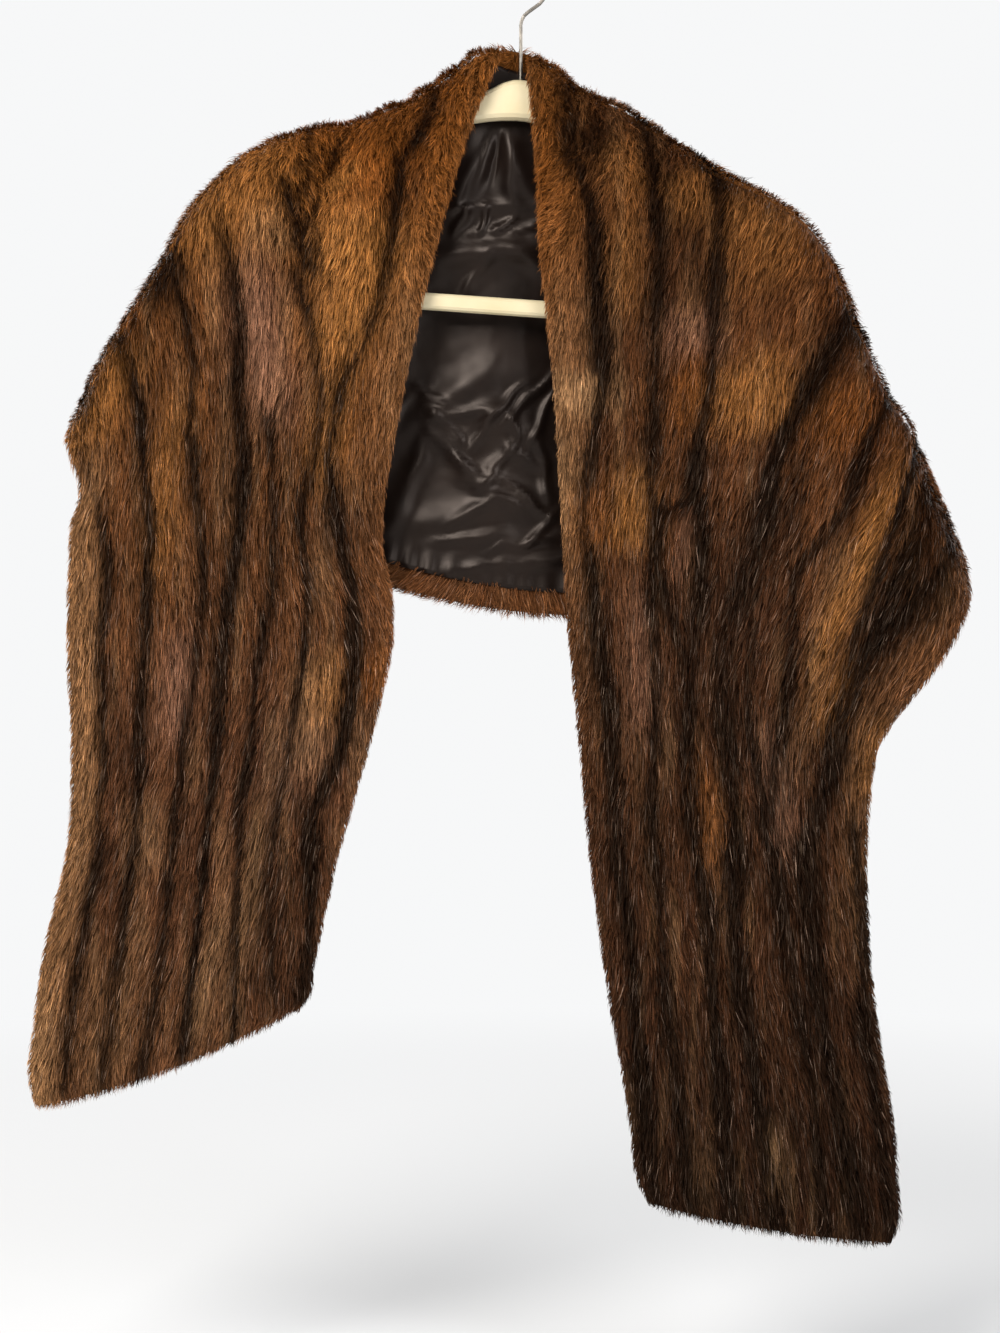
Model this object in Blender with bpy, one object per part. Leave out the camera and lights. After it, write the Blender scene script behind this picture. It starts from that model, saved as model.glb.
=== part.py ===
"""A long fur stole hung over a clothes hanger.

The stole is one band: a tip at the left, up over the left shoulder fold, round the back below the neck,
over the right shoulder fold and down to the tip at the right. Its inner edge runs down the open fronts, and
its outer edge is the hem of the back and the outer side of the fronts.

Metres, +Z up, +X to the right of someone who looks at the open fronts, +Y behind. The origin is the highest
point inside the hook, where a rail would carry it. All sizes below are in millimetres, angles in degrees.
"""

import math
from collections import namedtuple

import bmesh
import bpy
import numpy as np

MM = 0.001

# Walls and the room between them
FUR_WALL = 14.0
LINING_WALL = 1.0
GAP = 0.3
HALF_FUR = FUR_WALL / 2
LINING_DEPTH = GAP + LINING_WALL / 2
LINING_MARGIN = 0.032

# The share of a front below the end of its lining
TIP_MARGIN = 0.02

# How round the corners of the two tips are
TIP_CORNER = 24.0

# The fur is pressed thinner where the weight hangs on the neck: by this share, here, and this far round
NECK_PRESS = 0.42
NECK_PLACE = (-2.0, -76.0)
NECK_REACH = 52.0

# The neck edge of the back is eased over this share of the way to the hem, in this many steps
NECK_SHARE = 0.2
RELAX_STEPS = 12

# The soft folds start this share of the way along a piece from a shoulder fold
FOLD_START = 0.15

# The longest share of a front that its fold may round off, at the neck
MOST_ARC = 0.2

# How finely the walls are cut into faces
ARC_ROWS = 5
FRONT_ROWS = 24
BACK_ROWS = 34
COLUMNS = 13
RIM_STEPS = 4
TIP_ANGLES = (0.0, 32.0, 60.0, 82.0)

# The hanger
HANGER_TILT = 4.0
HANGER_FOOT = (0.8, -98.0)
HANGER_DEPTH = 13.3
BAR_TALL = 14.0
BAR_DEPTH = 9.0
BAR_DROP = 183.0
BAR_REACH = 152.0
BAR_CORNER = 16.0
WIRE = 3.0
HOOK_RADIUS = 22.4
HOOK_START = -45
HOOK_END = 208
HOOK_STEP = 11
STEM_TOP = -54.0
HookBend = namedtuple("HookBend", "x rise")
HOOK_KINK = (HookBend(1.3, 3.5), HookBend(3.2, 7.5), HookBend(6.6, 10.6))

# The fold over each shoulder, as its outline from the front: from the neck to the elbow corner. depth is
# half the thickness of the fold there, from the hanger's plane out to the fur's middle.
Ridge = namedtuple("Ridge", "x z depth")
LEFT_RIDGE = (
    Ridge(-10, -71, 14.8),
    Ridge(-24, -69, 14.8),
    Ridge(-40, -77, 14.8),
    Ridge(-64, -96, 14.8),
    Ridge(-94, -112, 14.8),
    Ridge(-126, -126, 15.0),
    Ridge(-176, -134, 16.0),
    Ridge(-234, -162, 17.0),
    Ridge(-264, -194, 20.0),
    Ridge(-304, -260, 25.0),
    Ridge(-334, -308, 30.0),
    Ridge(-361, -365, 34.0),
    Ridge(-370, -386, 36.0),
)
RIGHT_RIDGE = (
    Ridge(7, -73, 14.8),
    Ridge(20, -78, 14.8),
    Ridge(34, -88, 14.8),
    Ridge(47, -100, 14.8),
    Ridge(64, -108, 14.8),
    Ridge(96, -124, 14.8),
    Ridge(128, -144, 15.0),
    Ridge(161, -165, 16.0),
    Ridge(178, -174, 16.5),
    Ridge(224, -201, 17.0),
    Ridge(266, -261, 22.0),
    Ridge(288, -325, 27.0),
    Ridge(328, -397, 33.0),
    Ridge(354, -461, 38.0),
    Ridge(365, -505, 41.0),
    Ridge(364, -523, 42.0),
)

# Sections across each front, from the shoulder fold down to the tip. ridge is how much of the fold's bend
# the section still has, sag how far its middle hangs below the straight line, and the depths are in front of
# the hanger's plane.
Section = namedtuple("Section", "inner_x inner_z outer_x outer_z ridge sag inner_depth outer_depth")
LEFT_SECTIONS = (
    Section(-10, -71, -370, -386, 1.00, 0, 15, 36),
    Section(-24, -101, -365, -401, 0.93, 0, 15, 37),
    Section(-39, -137, -357, -419, 0.80, 0, 15, 37),
    Section(-64, -221, -354, -441, 0.50, 0, 16, 37),
    Section(-90, -345, -358, -461, 0.20, 0, 18, 36),
    Section(-108, -461, -359, -489, 0.00, 0, 20, 35),
    Section(-98, -533, -361, -557, 0.00, 0, 21, 32),
    Section(-114, -617, -358, -625, 0.00, 0, 22, 30),
    Section(-142, -717, -362, -717, 0.00, 0, 23, 28),
    Section(-158, -789, -382, -805, 0.00, 4, 24, 27),
    Section(-168, -840, -395, -934, 0.00, 12, 24, 26),
)
RIGHT_SECTIONS = (
    Section(7, -73, 364, -523, 1.00, 0, 15, 42),
    Section(7, -90, 357, -539, 0.93, 0, 15, 42),
    Section(8, -109, 348, -555, 0.85, 0, 15, 42),
    Section(13, -133, 338, -570, 0.75, 0, 15, 42),
    Section(17, -229, 322, -590, 0.50, 0, 16, 41),
    Section(26, -341, 301, -614, 0.25, 0, 18, 39),
    Section(32, -453, 284, -638, 0.08, 0, 20, 37),
    Section(38, -549, 278, -677, 0.00, 0, 21, 35),
    Section(46, -633, 276, -725, 0.00, 0, 22, 33),
    Section(55, -733, 279, -797, 0.00, 0, 23, 31),
    Section(67, -821, 287, -865, 0.00, 0, 24, 29),
    Section(81, -905, 299, -937, 0.00, 4, 24, 28),
    Section(95, -1003, 304, -1036, 0.00, 7, 24, 27),
)

# Sections down the back, from the left shoulder fold to the right one. left and right are how much of each
# fold's bend the section still has.
BackSection = namedtuple("BackSection", "neck_x neck_z hem_x hem_z left right")
BACK_SECTIONS = (
    BackSection(-10, -71, -370, -386, 1.00, 0.00),
    BackSection(-8, -69, -328, -413, 0.80, 0.00),
    BackSection(-7, -68, -256, -446, 0.50, 0.00),
    BackSection(-5, -67, -176, -483, 0.22, 0.00),
    BackSection(-4, -67, -96, -511, 0.05, 0.00),
    BackSection(-2, -67, -2, -529, 0.00, 0.00),
    BackSection(-1, -68, 92, -533, 0.00, 0.05),
    BackSection(1, -69, 190, -538, 0.00, 0.22),
    BackSection(3, -70, 272, -539, 0.00, 0.50),
    BackSection(5, -71, 328, -532, 0.00, 0.80),
    BackSection(7, -73, 364, -523, 0.00, 1.00),
)

# How far behind the hanger's plane the middle of the back hangs, by its share of the way from neck to hem
BackDepth = namedtuple("BackDepth", "share depth")
BACK_DEPTHS = (
    BackDepth(0.00, 12.5),
    BackDepth(0.05, 15.0),
    BackDepth(0.20, 21.0),
    BackDepth(0.50, 29.0),
    BackDepth(0.80, 32.0),
    BackDepth(1.00, 29.0),
)

# Soft folds of the fur: the middle of each, its length and width, how far its top leans to the right, and its
# height outwards, less than zero for a dent.
Fold = namedtuple("Fold", "x z length width lean height")
LEFT_FOLDS = (
    Fold(-160, -200, 92, 14, 20, -4.5),
    Fold(-124, -203, 95, 19, 8, 7.0),
    Fold(-200, -197, 100, 22, 38, 6.5),
    Fold(-262, -300, 150, 22, -12, -3.0),
    Fold(-216, -430, 330, 20, 2, -3.5),
    Fold(-172, -560, 330, 22, 4, 3.5),
    Fold(-285, -600, 360, 24, 2, 3.0),
    Fold(-238, -760, 300, 18, -6, -3.0),
    Fold(-330, -800, 240, 18, 8, -2.5),
)
RIGHT_FOLDS = (
    Fold(277, -505, 190, 17, 14, 6.5),
    Fold(318, -490, 150, 20, 18, -6.0),
    Fold(128, -505, 70, 15, 10, -4.5),
    Fold(104, -380, 200, 17, 2, -3.5),
    Fold(62, -285, 260, 17, -2, 4.0),
    Fold(190, -330, 230, 28, 12, 4.0),
    Fold(228, -700, 330, 20, 4, 3.0),
    Fold(165, -770, 380, 18, -8, -3.0),
    Fold(110, -850, 300, 18, -10, 3.0),
)
BACK_FOLDS = (
    Fold(-215, -330, 220, 26, 38, 5.0),
    Fold(-150, -370, 230, 24, 24, -5.5),
    Fold(-85, -360, 250, 26, 12, 5.0),
    Fold(-20, -400, 210, 24, 2, -4.0),
    Fold(52, -370, 260, 26, -9, 5.5),
    Fold(128, -400, 250, 25, -20, -5.5),
    Fold(205, -390, 240, 28, -33, 5.0),
)

# Folds of the loose lining inside the back, as heights towards the front
LINING_FOLDS = (
    Fold(-22, -232, 120, 10, 84, 6.0),
    Fold(-44, -160, 70, 12, 10, 3.5),
    Fold(-4, -165, 70, 13, -6, 4.0),
    Fold(-60, -352, 110, 12, 55, 3.5),
    Fold(5, -378, 120, 12, -60, 4.0),
    Fold(-20, -440, 150, 10, 78, 3.0),
    Fold(-170, -330, 160, 16, 30, 3.5),
    Fold(150, -350, 170, 16, -30, 3.5),
)

# One arm of the hanger, from its neck outwards, level before the tilt
Arm = namedtuple("Arm", "out top tall")
ARM = (
    Arm(0, 0.0, 33.0),
    Arm(10, -1.5, 32.0),
    Arm(22, -8.0, 27.0),
    Arm(40, -18.4, 20.5),
    Arm(64, -27.5, 16.0),
    Arm(105, -45.8, 15.5),
    Arm(150, -67.5, 15.5),
    Arm(200, -91.7, 15.0),
    Arm(212, -97.5, 14.0),
)
ARM_PLACES = (0, 6, 14, 24, 36, 48, 68, 96, 128, 160, 190, 206, 212)
ARM_END_ANGLES = (35.0, 65.0, 82.0)
BAR_SIDES = 12
ARM_SLOPE = math.atan2(ARM[5].top - ARM[7].top, ARM[7].out - ARM[5].out)


def column(table, name):
    """One named column of a table."""
    return np.array([getattr(row, name) for row in table], float)


def read_curve(knots, values, at):
    """A smooth curve through the values at the rising knots, read at each place in `at`."""
    slopes = np.gradient(values, knots)
    at = np.clip(at, knots[0], knots[-1])
    low = np.clip(np.searchsorted(knots, at, side="right") - 1, 0, len(knots) - 2)
    span = knots[low + 1] - knots[low]
    t = (at - knots[low]) / span
    return (
        values[low] * (1 + 2 * t) * (1 - t) ** 2
        + slopes[low] * span * t * (1 - t) ** 2
        + values[low + 1] * t**2 * (3 - 2 * t)
        - slopes[low + 1] * span * t**2 * (1 - t)
    )


def eased(t):
    """0 to 1 with a level start and end."""
    t = np.clip(t, 0, 1)
    return t * t * (3 - 2 * t)


def lengths_along(x, z):
    """How far along its path each point lies, from 0 at the first."""
    return np.concatenate([[0], np.cumsum(np.hypot(np.diff(x), np.diff(z)))])


class ShoulderFold:
    """The curved line that a front and the back share, and how deep the fold is along it."""

    def __init__(self, rows):
        self.x = column(rows, "x")
        self.z = column(rows, "z")
        self.depths = column(rows, "depth")
        along = lengths_along(self.x, self.z)
        self.knots = along / along[-1]
        self.side = math.copysign(1, self.x[-1])

    def bend(self, across):
        """How far the fold's outline lies from the straight line between its ends."""
        x = read_curve(self.knots, self.x, across)
        z = read_curve(self.knots, self.z, across)
        x -= self.x[0] + (self.x[-1] - self.x[0]) * across
        z -= self.z[0] + (self.z[-1] - self.z[0]) * across
        return x, z

    def inwards(self, across):
        """The direction square to the fold's outline, down into the stole."""
        step = 0.01
        x = read_curve(self.knots, self.x, across + step) - read_curve(self.knots, self.x, across - step)
        z = read_curve(self.knots, self.z, across + step) - read_curve(self.knots, self.z, across - step)
        scale = self.side / np.hypot(x, z)
        return z * scale, -x * scale

    def depth(self, across):
        return read_curve(self.knots, self.depths, across)


class Sheet:
    """A wall of the stole as a surface over two shares: along it, and across it from inner to outer edge."""

    def flat_place(self, along, across):
        """The x and z of a place on the sheet's middle surface, by its table's sections."""
        inner_x, inner_z, outer_x, outer_z, sag, bends = self.section(along)
        width = np.hypot(outer_x - inner_x, outer_z - inner_z)
        edge = (HALF_FUR + self.corner_inset(along)) / width
        share = edge + (1 - 2 * edge) * across
        x = inner_x + (outer_x - inner_x) * share
        z = inner_z + (outer_z - inner_z) * share - sag * 4 * share * (1 - share)
        for fold, weight in bends:
            bend_x, bend_z = fold.bend(share)
            x = x + weight * bend_x
            z = z + weight * bend_z
        return x, z

    def corner_inset(self, along):
        return 0.0 * along

    def start_speed(self, fold, across, at_end=False):
        """Millimetres away from the line of a shoulder fold per unit of along, where the sheet leaves it."""
        step = 0.02
        first, second = (1.0, 1.0 - step) if at_end else (0.0, step)
        x0, z0 = self.flat_place(first + 0 * across, across)
        x1, z1 = self.flat_place(second + 0 * across, across)
        in_x, in_z = fold.inwards(across)
        return np.maximum((x1 - x0) * in_x + (z1 - z0) * in_z, 0.1) / step

    def grid(self, rows):
        """Middle surface and outward normals, a line of points across the sheet for each row."""
        inside = np.linspace(LINING_MARGIN, 1 - LINING_MARGIN, COLUMNS)
        shares = np.concatenate([[0], inside, [1]])
        points = self.place(*np.meshgrid(rows, shares, indexing="ij"))
        points = relaxed(points, self.neck_ease * (1 - eased(shares / NECK_SHARE)))
        heights = folded(self.folds, points) * eased(self.from_fold(rows) / FOLD_START)[:, None]
        points = points + self.normals(points, rows, shares) * heights[..., None]
        normals = unit(relaxed(self.normals(points, rows, shares), np.ones(len(shares))))
        return Surface(points, normals, half_thickness(points))

    def normals(self, points, rows, shares):
        """Unit normals that point away from the hanger, level on the shoulder folds."""
        along = np.gradient(points, rows, axis=0, edge_order=2)
        across = np.gradient(points, shares, axis=1, edge_order=1)
        normals = np.cross(along, across) * self.turn
        for row in self.fold_rows:
            normals[row, :, 1] = 0
        return unit(normals)


Surface = namedtuple("Surface", "points normals half")


def half_thickness(points):
    """Half the fur's thickness at each point."""
    away = np.hypot(points[..., 0] - NECK_PLACE[0], points[..., 2] - NECK_PLACE[1])
    return HALF_FUR * (1 - NECK_PRESS * np.exp(-((away / NECK_REACH) ** 2)))


def unit(vectors):
    return vectors / np.linalg.norm(vectors, axis=-1, keepdims=True)


def relaxed(field, weights):
    """The field drawn towards the mean of its neighbours along the sheet, by a weight for each column."""
    field = field.copy()
    for _ in range(RELAX_STEPS):
        middle = (field[:-2] + field[2:]) / 2
        field[1:-1] += (middle - field[1:-1]) * weights[:, None] / 2
    return field


class Front(Sheet):
    """A front panel: along runs from the shoulder fold, 0, to the tip, 1."""

    fold_rows = (0,)
    neck_ease = 0.0

    def from_fold(self, rows):
        return rows

    def __init__(self, sections, fold, folds, turn):
        self.fold = fold
        self.folds = folds
        self.turn = turn
        self.table = {name: column(sections, name) for name in Section._fields}
        bend_x, bend_z = fold.bend(np.array(0.5))
        middle_x = (self.table["inner_x"] + self.table["outer_x"]) / 2 + self.table["ridge"] * bend_x
        middle_z = (self.table["inner_z"] + self.table["outer_z"]) / 2 + self.table["ridge"] * bend_z
        along = lengths_along(middle_x, middle_z)
        self.length = along[-1]
        self.knots = along / self.length

    def read(self, name, along):
        return read_curve(self.knots, self.table[name], along)

    def section(self, along):
        edges = [self.read(name, along) for name in ("inner_x", "inner_z", "outer_x", "outer_z")]
        return (*edges, self.read("sag", along), [(self.fold, self.read("ridge", along))])

    def corner_inset(self, along):
        """Rounds the two corners of the tip."""
        left = np.clip(1 - (1 - along) * self.length / TIP_CORNER, 0, 1)
        return TIP_CORNER * (1 - np.sqrt(1 - left**2))

    def place(self, row, across):
        depth = self.fold.depth(across)
        arc_reach = np.minimum(depth / self.start_speed(self.fold, across), MOST_ARC)
        arc_share = ARC_ROWS / FRONT_ROWS
        angle = np.pi / 2 * np.clip(row / arc_share, 0, 1)
        below_arc = np.clip((row - arc_share) / (1 - arc_share), 0, 1)
        end = 1 - HALF_FUR / self.length
        along = arc_reach * (1 - np.cos(angle)) + (end - arc_reach) * below_arc
        x, z = self.flat_place(along, across)
        in_x, in_z = self.fold.inwards(across)
        inset = HALF_FUR * (1 - eased(below_arc * 3))
        x = x + in_x * inset
        z = z + in_z * inset
        hanging = self.read("inner_depth", along)
        hanging = hanging + (self.read("outer_depth", along) - hanging) * across
        settled = eased(below_arc * 3)
        y = -np.sin(angle) * (depth + (hanging - depth) * settled)
        return np.stack([x, y, z], -1)


class Back(Sheet):
    """The back: along runs from the left shoulder fold, 0, to the right one, 1."""

    fold_rows = (0, -1)
    neck_ease = 1.0
    turn = 1

    def from_fold(self, rows):
        return np.minimum(rows, 1 - rows)

    def __init__(self, sections, left, right, folds):
        self.left = left
        self.right = right
        self.folds = folds
        self.table = {name: column(sections, name) for name in BackSection._fields}
        self.knots = np.linspace(0, 1, len(sections))

    def read(self, name, along):
        return read_curve(self.knots, self.table[name], along)

    def section(self, along):
        edges = [self.read(name, along) for name in ("neck_x", "neck_z", "hem_x", "hem_z")]
        bends = [(self.left, self.read("left", along)), (self.right, self.read("right", along))]
        return (*edges, 0.0, bends)

    def place(self, row, across):
        from_left = row <= 0.5
        way_in = 2 * np.where(from_left, row, 1 - row)
        depth = np.where(from_left, self.left.depth(across), self.right.depth(across))
        left_speed = self.start_speed(self.left, across)
        right_speed = self.start_speed(self.right, across, at_end=True)
        arc_reach = np.minimum(depth / np.where(from_left, left_speed, right_speed), 0.5)
        arc_share = 1 - (1 - 2 * ARC_ROWS / BACK_ROWS) * eased(across / 0.2)
        angle = np.pi / 2 * np.clip(way_in / arc_share, 0, 1)
        past_arc = np.clip((way_in - arc_share) / np.maximum(1 - arc_share, 1e-6), 0, 1)
        along = arc_reach * (1 - np.cos(angle)) + (0.5 - arc_reach) * past_arc
        x, z = self.flat_place(np.where(from_left, along, 1 - along), across)
        for fold, near in ((self.left, row), (self.right, 1 - row)):
            in_x, in_z = fold.inwards(across)
            inset = HALF_FUR * (1 - eased(near * 2))
            x = x + in_x * inset
            z = z + in_z * inset
        centre = read_curve(column(BACK_DEPTHS, "share"), column(BACK_DEPTHS, "depth"), across)
        y = np.sin(angle) * (depth + (centre - depth) * eased(way_in))
        return np.stack([x, y, z], -1)


def folded(folds, points):
    """The height of all the soft folds at each point."""
    total = np.zeros(points.shape[:-1])
    for fold in folds:
        lean = math.radians(fold.lean)
        right = points[..., 0] - fold.x
        up = points[..., 2] - fold.z
        along = right * math.sin(lean) + up * math.cos(lean)
        beside = right * math.cos(lean) - up * math.sin(lean)
        total += fold.height * np.exp(-((along / (fold.length / 2)) ** 4) - (beside / fold.width) ** 2)
    return total


def edge_directions(surface, rows, side):
    """The direction out of the sheet at each row of one of its edges, square to the edge."""
    points = surface.points
    along = np.gradient(points[:, side], rows, axis=0, edge_order=2)
    outwards = unit(np.cross(along, surface.normals[:, side]))
    across = points[:, side] - points[:, 1 if side == 0 else -2]
    return outwards * np.sign((outwards * across).sum(-1, keepdims=True))


def rim(centre, normal, outwards, half):
    """The points that round an edge of the wall, from one face to the other."""
    angles = np.linspace(0, np.pi, RIM_STEPS + 1)[1:-1]
    return [centre + half * (math.cos(a) * normal + math.sin(a) * outwards) for a in angles]


def wall_ring(centres, normals, half, first, last):
    """A closed ring of points round a wall of these half thicknesses, with rounded edges."""
    outer = list(centres + half[:, None] * normals)
    inner = list(centres - half[:, None] * normals)
    return (
        outer
        + rim(centres[-1], normals[-1], last, half[-1])
        + inner[::-1]
        + rim(centres[0], -normals[0], first, half[0])
    )


def fur_wall(name, sheet, rows, seams, tip, material):
    """A fur piece: rings along the sheet, cut flat at its seams and rounded at its tip."""
    surface = sheet.grid(rows)
    points, normals, half = surface
    for row, side in seams:
        points[row, :, 1] = side * GAP / 2
    first = edge_directions(surface, rows, 0)
    last = edge_directions(surface, rows, -1)
    for row, side in seams:
        for edge in (first, last):
            edge[row, 1] = 0
            edge[row] = unit(edge[row])
    rings = [wall_ring(points[i], normals[i], half[i], first[i], last[i]) for i in range(len(rows))]
    if tip:
        onwards = unit(points[-1] - points[-2])
        rings.pop()
        for angle in TIP_ANGLES:
            turned = math.radians(angle)
            moved = points[-1] + onwards * HALF_FUR * math.sin(turned)
            rings.append(wall_ring(moved, normals[-1], half[-1] * math.cos(turned), first[-1], last[-1]))
    return loft(name, rings, material)


def lining_wall(name, sheet, rows, seams, folds, material):
    """A lining piece: a thin sheet just inside the fur, loose where it has folds of its own."""
    points, normals, half = (found[: len(rows), 1:-1] for found in sheet.grid(rows))
    for row, side in seams:
        points[row, :, 1] = side * GAP / 2
    loose = np.maximum(folded(folds, points), 0)
    for row, side in seams:
        loose[row] = 0
    centres = points - normals * (half + LINING_DEPTH + loose)[..., None]
    wall = LINING_WALL / 2
    rings = [
        list(centres[i] + wall * normals[i]) + list(centres[i] - wall * normals[i])[::-1]
        for i in range(len(rows))
    ]
    return loft(name, rings, material)


def loft(name, rings, material):
    """A closed solid through rings of equally many points, filled at both ends."""
    shape = bmesh.new()
    loops = [[shape.verts.new(np.asarray(point) * MM) for point in ring] for ring in rings]
    count = len(rings[0])
    for low, high in zip(loops, loops[1:]):
        for k in range(count):
            corners = [low[k - 1], low[k], high[k], high[k - 1]]
            # Both faces of a wall are cut along the same diagonal, so that it keeps its thickness.
            if 0 < k <= count // 2:
                corners = corners[1:] + corners[:1]
            shape.faces.new((corners[0], corners[1], corners[2]))
            shape.faces.new((corners[0], corners[2], corners[3]))
    ends = [shape.faces.new(loops[0]), shape.faces.new(loops[-1])]
    bmesh.ops.triangulate(shape, faces=ends)
    bmesh.ops.recalc_face_normals(shape, faces=shape.faces)
    mesh = bpy.data.meshes.new(name)
    shape.to_mesh(mesh)
    shape.free()
    return add_object(name, mesh, material)


def add_object(name, data, material):
    """Puts a mesh or curve in the stole's collection under its name."""
    data.materials.append(material)
    part = bpy.data.objects.new(name, data)
    bpy.data.collections[COLLECTION].objects.link(part)
    if part.type == "MESH":
        data.shade_smooth()
        data.set_sharp_from_angle(angle=math.radians(50))
    return part


def tilted(x, z):
    """A place in the hanger's own level frame, turned as the hanger hangs."""
    turn = math.radians(HANGER_TILT)
    return (
        HANGER_FOOT[0] + x * math.cos(turn) + z * math.sin(turn),
        HANGER_FOOT[1] - x * math.sin(turn) + z * math.cos(turn),
    )


def bar_ring(x, z, right, up, tall, deep):
    """A ring of an upright stadium: tall along (right, up), deep along Y, with round edges."""
    radius = min(deep, tall) / 2
    straight = tall / 2 - radius
    ring = []
    for k in range(BAR_SIDES):
        angle = 2 * np.pi * (k + 0.5) / BAR_SIDES
        beside = deep / 2 * math.cos(angle)
        along = radius * math.sin(angle) + straight * (1 if math.sin(angle) > 0 else -1)
        place = tilted(x + right * along, z + up * along)
        ring.append(np.array([place[0], beside, place[1]]))
    return ring


def hanger_body(material):
    """The neck and the two arms, one piece from end to end."""
    out = column(ARM, "out")
    top = column(ARM, "top")
    tall = column(ARM, "tall")
    rings = []
    for x in [-x for x in reversed(ARM_PLACES[1:])] + list(ARM_PLACES):
        height = float(read_curve(out, tall, np.array(abs(x))))
        middle = float(read_curve(out, top, np.array(abs(x)))) - height / 2
        rings.append(bar_ring(x, middle, 0, 1, height, HANGER_DEPTH))
    middle = top[-1] - tall[-1] / 2
    for side in (-1, 1):
        for angle in ARM_END_ANGLES:
            turned = math.radians(angle)
            reach = HANGER_DEPTH / 2 * math.sin(turned)
            shrink = math.cos(turned)
            x = side * (out[-1] + reach)
            z = middle - reach * math.tan(ARM_SLOPE)
            ring = bar_ring(x, z, 0, 1, tall[-1] * shrink, HANGER_DEPTH * shrink)
            rings.insert(0 if side < 0 else len(rings), ring)
    return loft("hanger_body", rings, material)


def hanger_bar(material):
    """The lower bar and the two struts that carry it under the arms."""
    out = column(ARM, "out")
    under = column(ARM, "top") - column(ARM, "tall")
    strut_top = float(read_curve(out, under, np.array(BAR_REACH))) - GAP / math.cos(ARM_SLOPE)
    rings = []
    for side in (-1, 1):
        half = [(BAR_REACH, strut_top, ARM_SLOPE), (BAR_REACH, (strut_top - BAR_DROP) / 2, 0)]
        for step in range(5):
            turned = math.radians(90 * step / 4)
            half.append(
                (
                    BAR_REACH - BAR_CORNER * (1 - math.cos(turned)),
                    -BAR_DROP + BAR_CORNER * (1 - math.sin(turned)),
                    turned,
                )
            )
        half.append((BAR_REACH / 2, -BAR_DROP, math.pi / 2))
        made = [
            bar_ring(side * x, z, -side * math.cos(turned), math.sin(turned), BAR_TALL, BAR_DEPTH)
            for x, z, turned in half
        ]
        rings = rings + (made if side < 0 else made[::-1])
    return loft("hanger_bar", rings, material)


def hanger_hook(material):
    """The wire hook: a straight stem, a bend to the right, and most of a circle over the rail."""
    centre_z = WIRE / 2 - HOOK_RADIUS
    route = [(HANGER_FOOT[0], HANGER_FOOT[1] + GAP, 1.0), (HANGER_FOOT[0], STEM_TOP, 1.0)]
    route += [(bend.x, STEM_TOP + bend.rise, 1.0) for bend in HOOK_KINK]
    for angle in range(HOOK_START, HOOK_END, HOOK_STEP):
        turned = math.radians(angle)
        route.append((HOOK_RADIUS * math.cos(turned), centre_z + HOOK_RADIUS * math.sin(turned), 1.0))
    x, z, _ = route[-1]
    route += [(x + 0.3, z - 0.9, 0.8), (x + 0.45, z - 1.3, 0.4)]
    curve = bpy.data.curves.new("hanger_hook", "CURVE")
    curve.dimensions = "3D"
    curve.bevel_depth = WIRE / 2 * MM
    curve.bevel_resolution = 2
    curve.use_fill_caps = True
    spline = curve.splines.new("POLY")
    spline.points.add(len(route) - 1)
    for point, (x, z, thickness) in zip(spline.points, route):
        point.co = (x * MM, 0, z * MM, 1)
        point.radius = thickness
    return add_object("hanger_hook", curve, material)


def plain_material(name, colour, roughness, metallic=0.0):
    material = bpy.data.materials.new(name)
    material.use_nodes = True
    shader = material.node_tree.nodes["Principled BSDF"]
    shader.inputs["Base Color"].default_value = (*colour, 1)
    shader.inputs["Roughness"].default_value = roughness
    shader.inputs["Metallic"].default_value = metallic
    return material


COLLECTION = "fur_stole_on_hanger"


def main():
    for old in list(bpy.data.objects):
        bpy.data.objects.remove(old)
    bpy.context.scene.collection.children.link(bpy.data.collections.new(COLLECTION))

    fur = plain_material("brown_fur", (0.115, 0.045, 0.017), 0.75)
    satin = plain_material("brown_satin", (0.020, 0.012, 0.010), 0.35)
    ivory = plain_material("ivory_plastic", (0.80, 0.73, 0.52), 0.40)
    steel = plain_material("steel_wire", (0.55, 0.54, 0.53), 0.30, 1.0)

    left_fold = ShoulderFold(LEFT_RIDGE)
    right_fold = ShoulderFold(RIGHT_RIDGE)
    left = Front(LEFT_SECTIONS, left_fold, LEFT_FOLDS, -1)
    right = Front(RIGHT_SECTIONS, right_fold, RIGHT_FOLDS, 1)
    back = Back(BACK_SECTIONS, left_fold, right_fold, BACK_FOLDS)

    front_rows = np.append(np.linspace(0, 1 - TIP_MARGIN, FRONT_ROWS), 1.0)
    back_rows = np.linspace(0, 1, BACK_ROWS + 1)
    lining_rows = front_rows[:-1]
    front_seam = [(0, -1)]
    back_seams = [(0, 1), (-1, 1)]

    fur_wall("fur_left_front", left, front_rows, front_seam, True, fur)
    fur_wall("fur_right_front", right, front_rows, front_seam, True, fur)
    fur_wall("fur_back", back, back_rows, back_seams, False, fur)
    lining_wall("lining_left_front", left, lining_rows, front_seam, (), satin)
    lining_wall("lining_right_front", right, lining_rows, front_seam, (), satin)
    lining_wall("lining_back", back, back_rows, back_seams, LINING_FOLDS, satin)
    hanger_body(ivory)
    hanger_bar(ivory)
    hanger_hook(steel)


main()
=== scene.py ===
"""The looks of a long fur stole that hangs over a clothes hanger.

The surfaces are worked out again from the sizes of the solids, read finely, and dressed: fur skins with
underfur and guard hair on them, and a satin lining with its creases. The hanger keeps its solids.

Millimetres until a mesh is made, +Z up, +X to the right of someone who looks at the open fronts, +Y behind.
The origin is the highest point inside the hook.
"""

import math
from collections import namedtuple

import bmesh
import bpy
import numpy as np
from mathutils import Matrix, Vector
from mathutils.kdtree import KDTree

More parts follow.
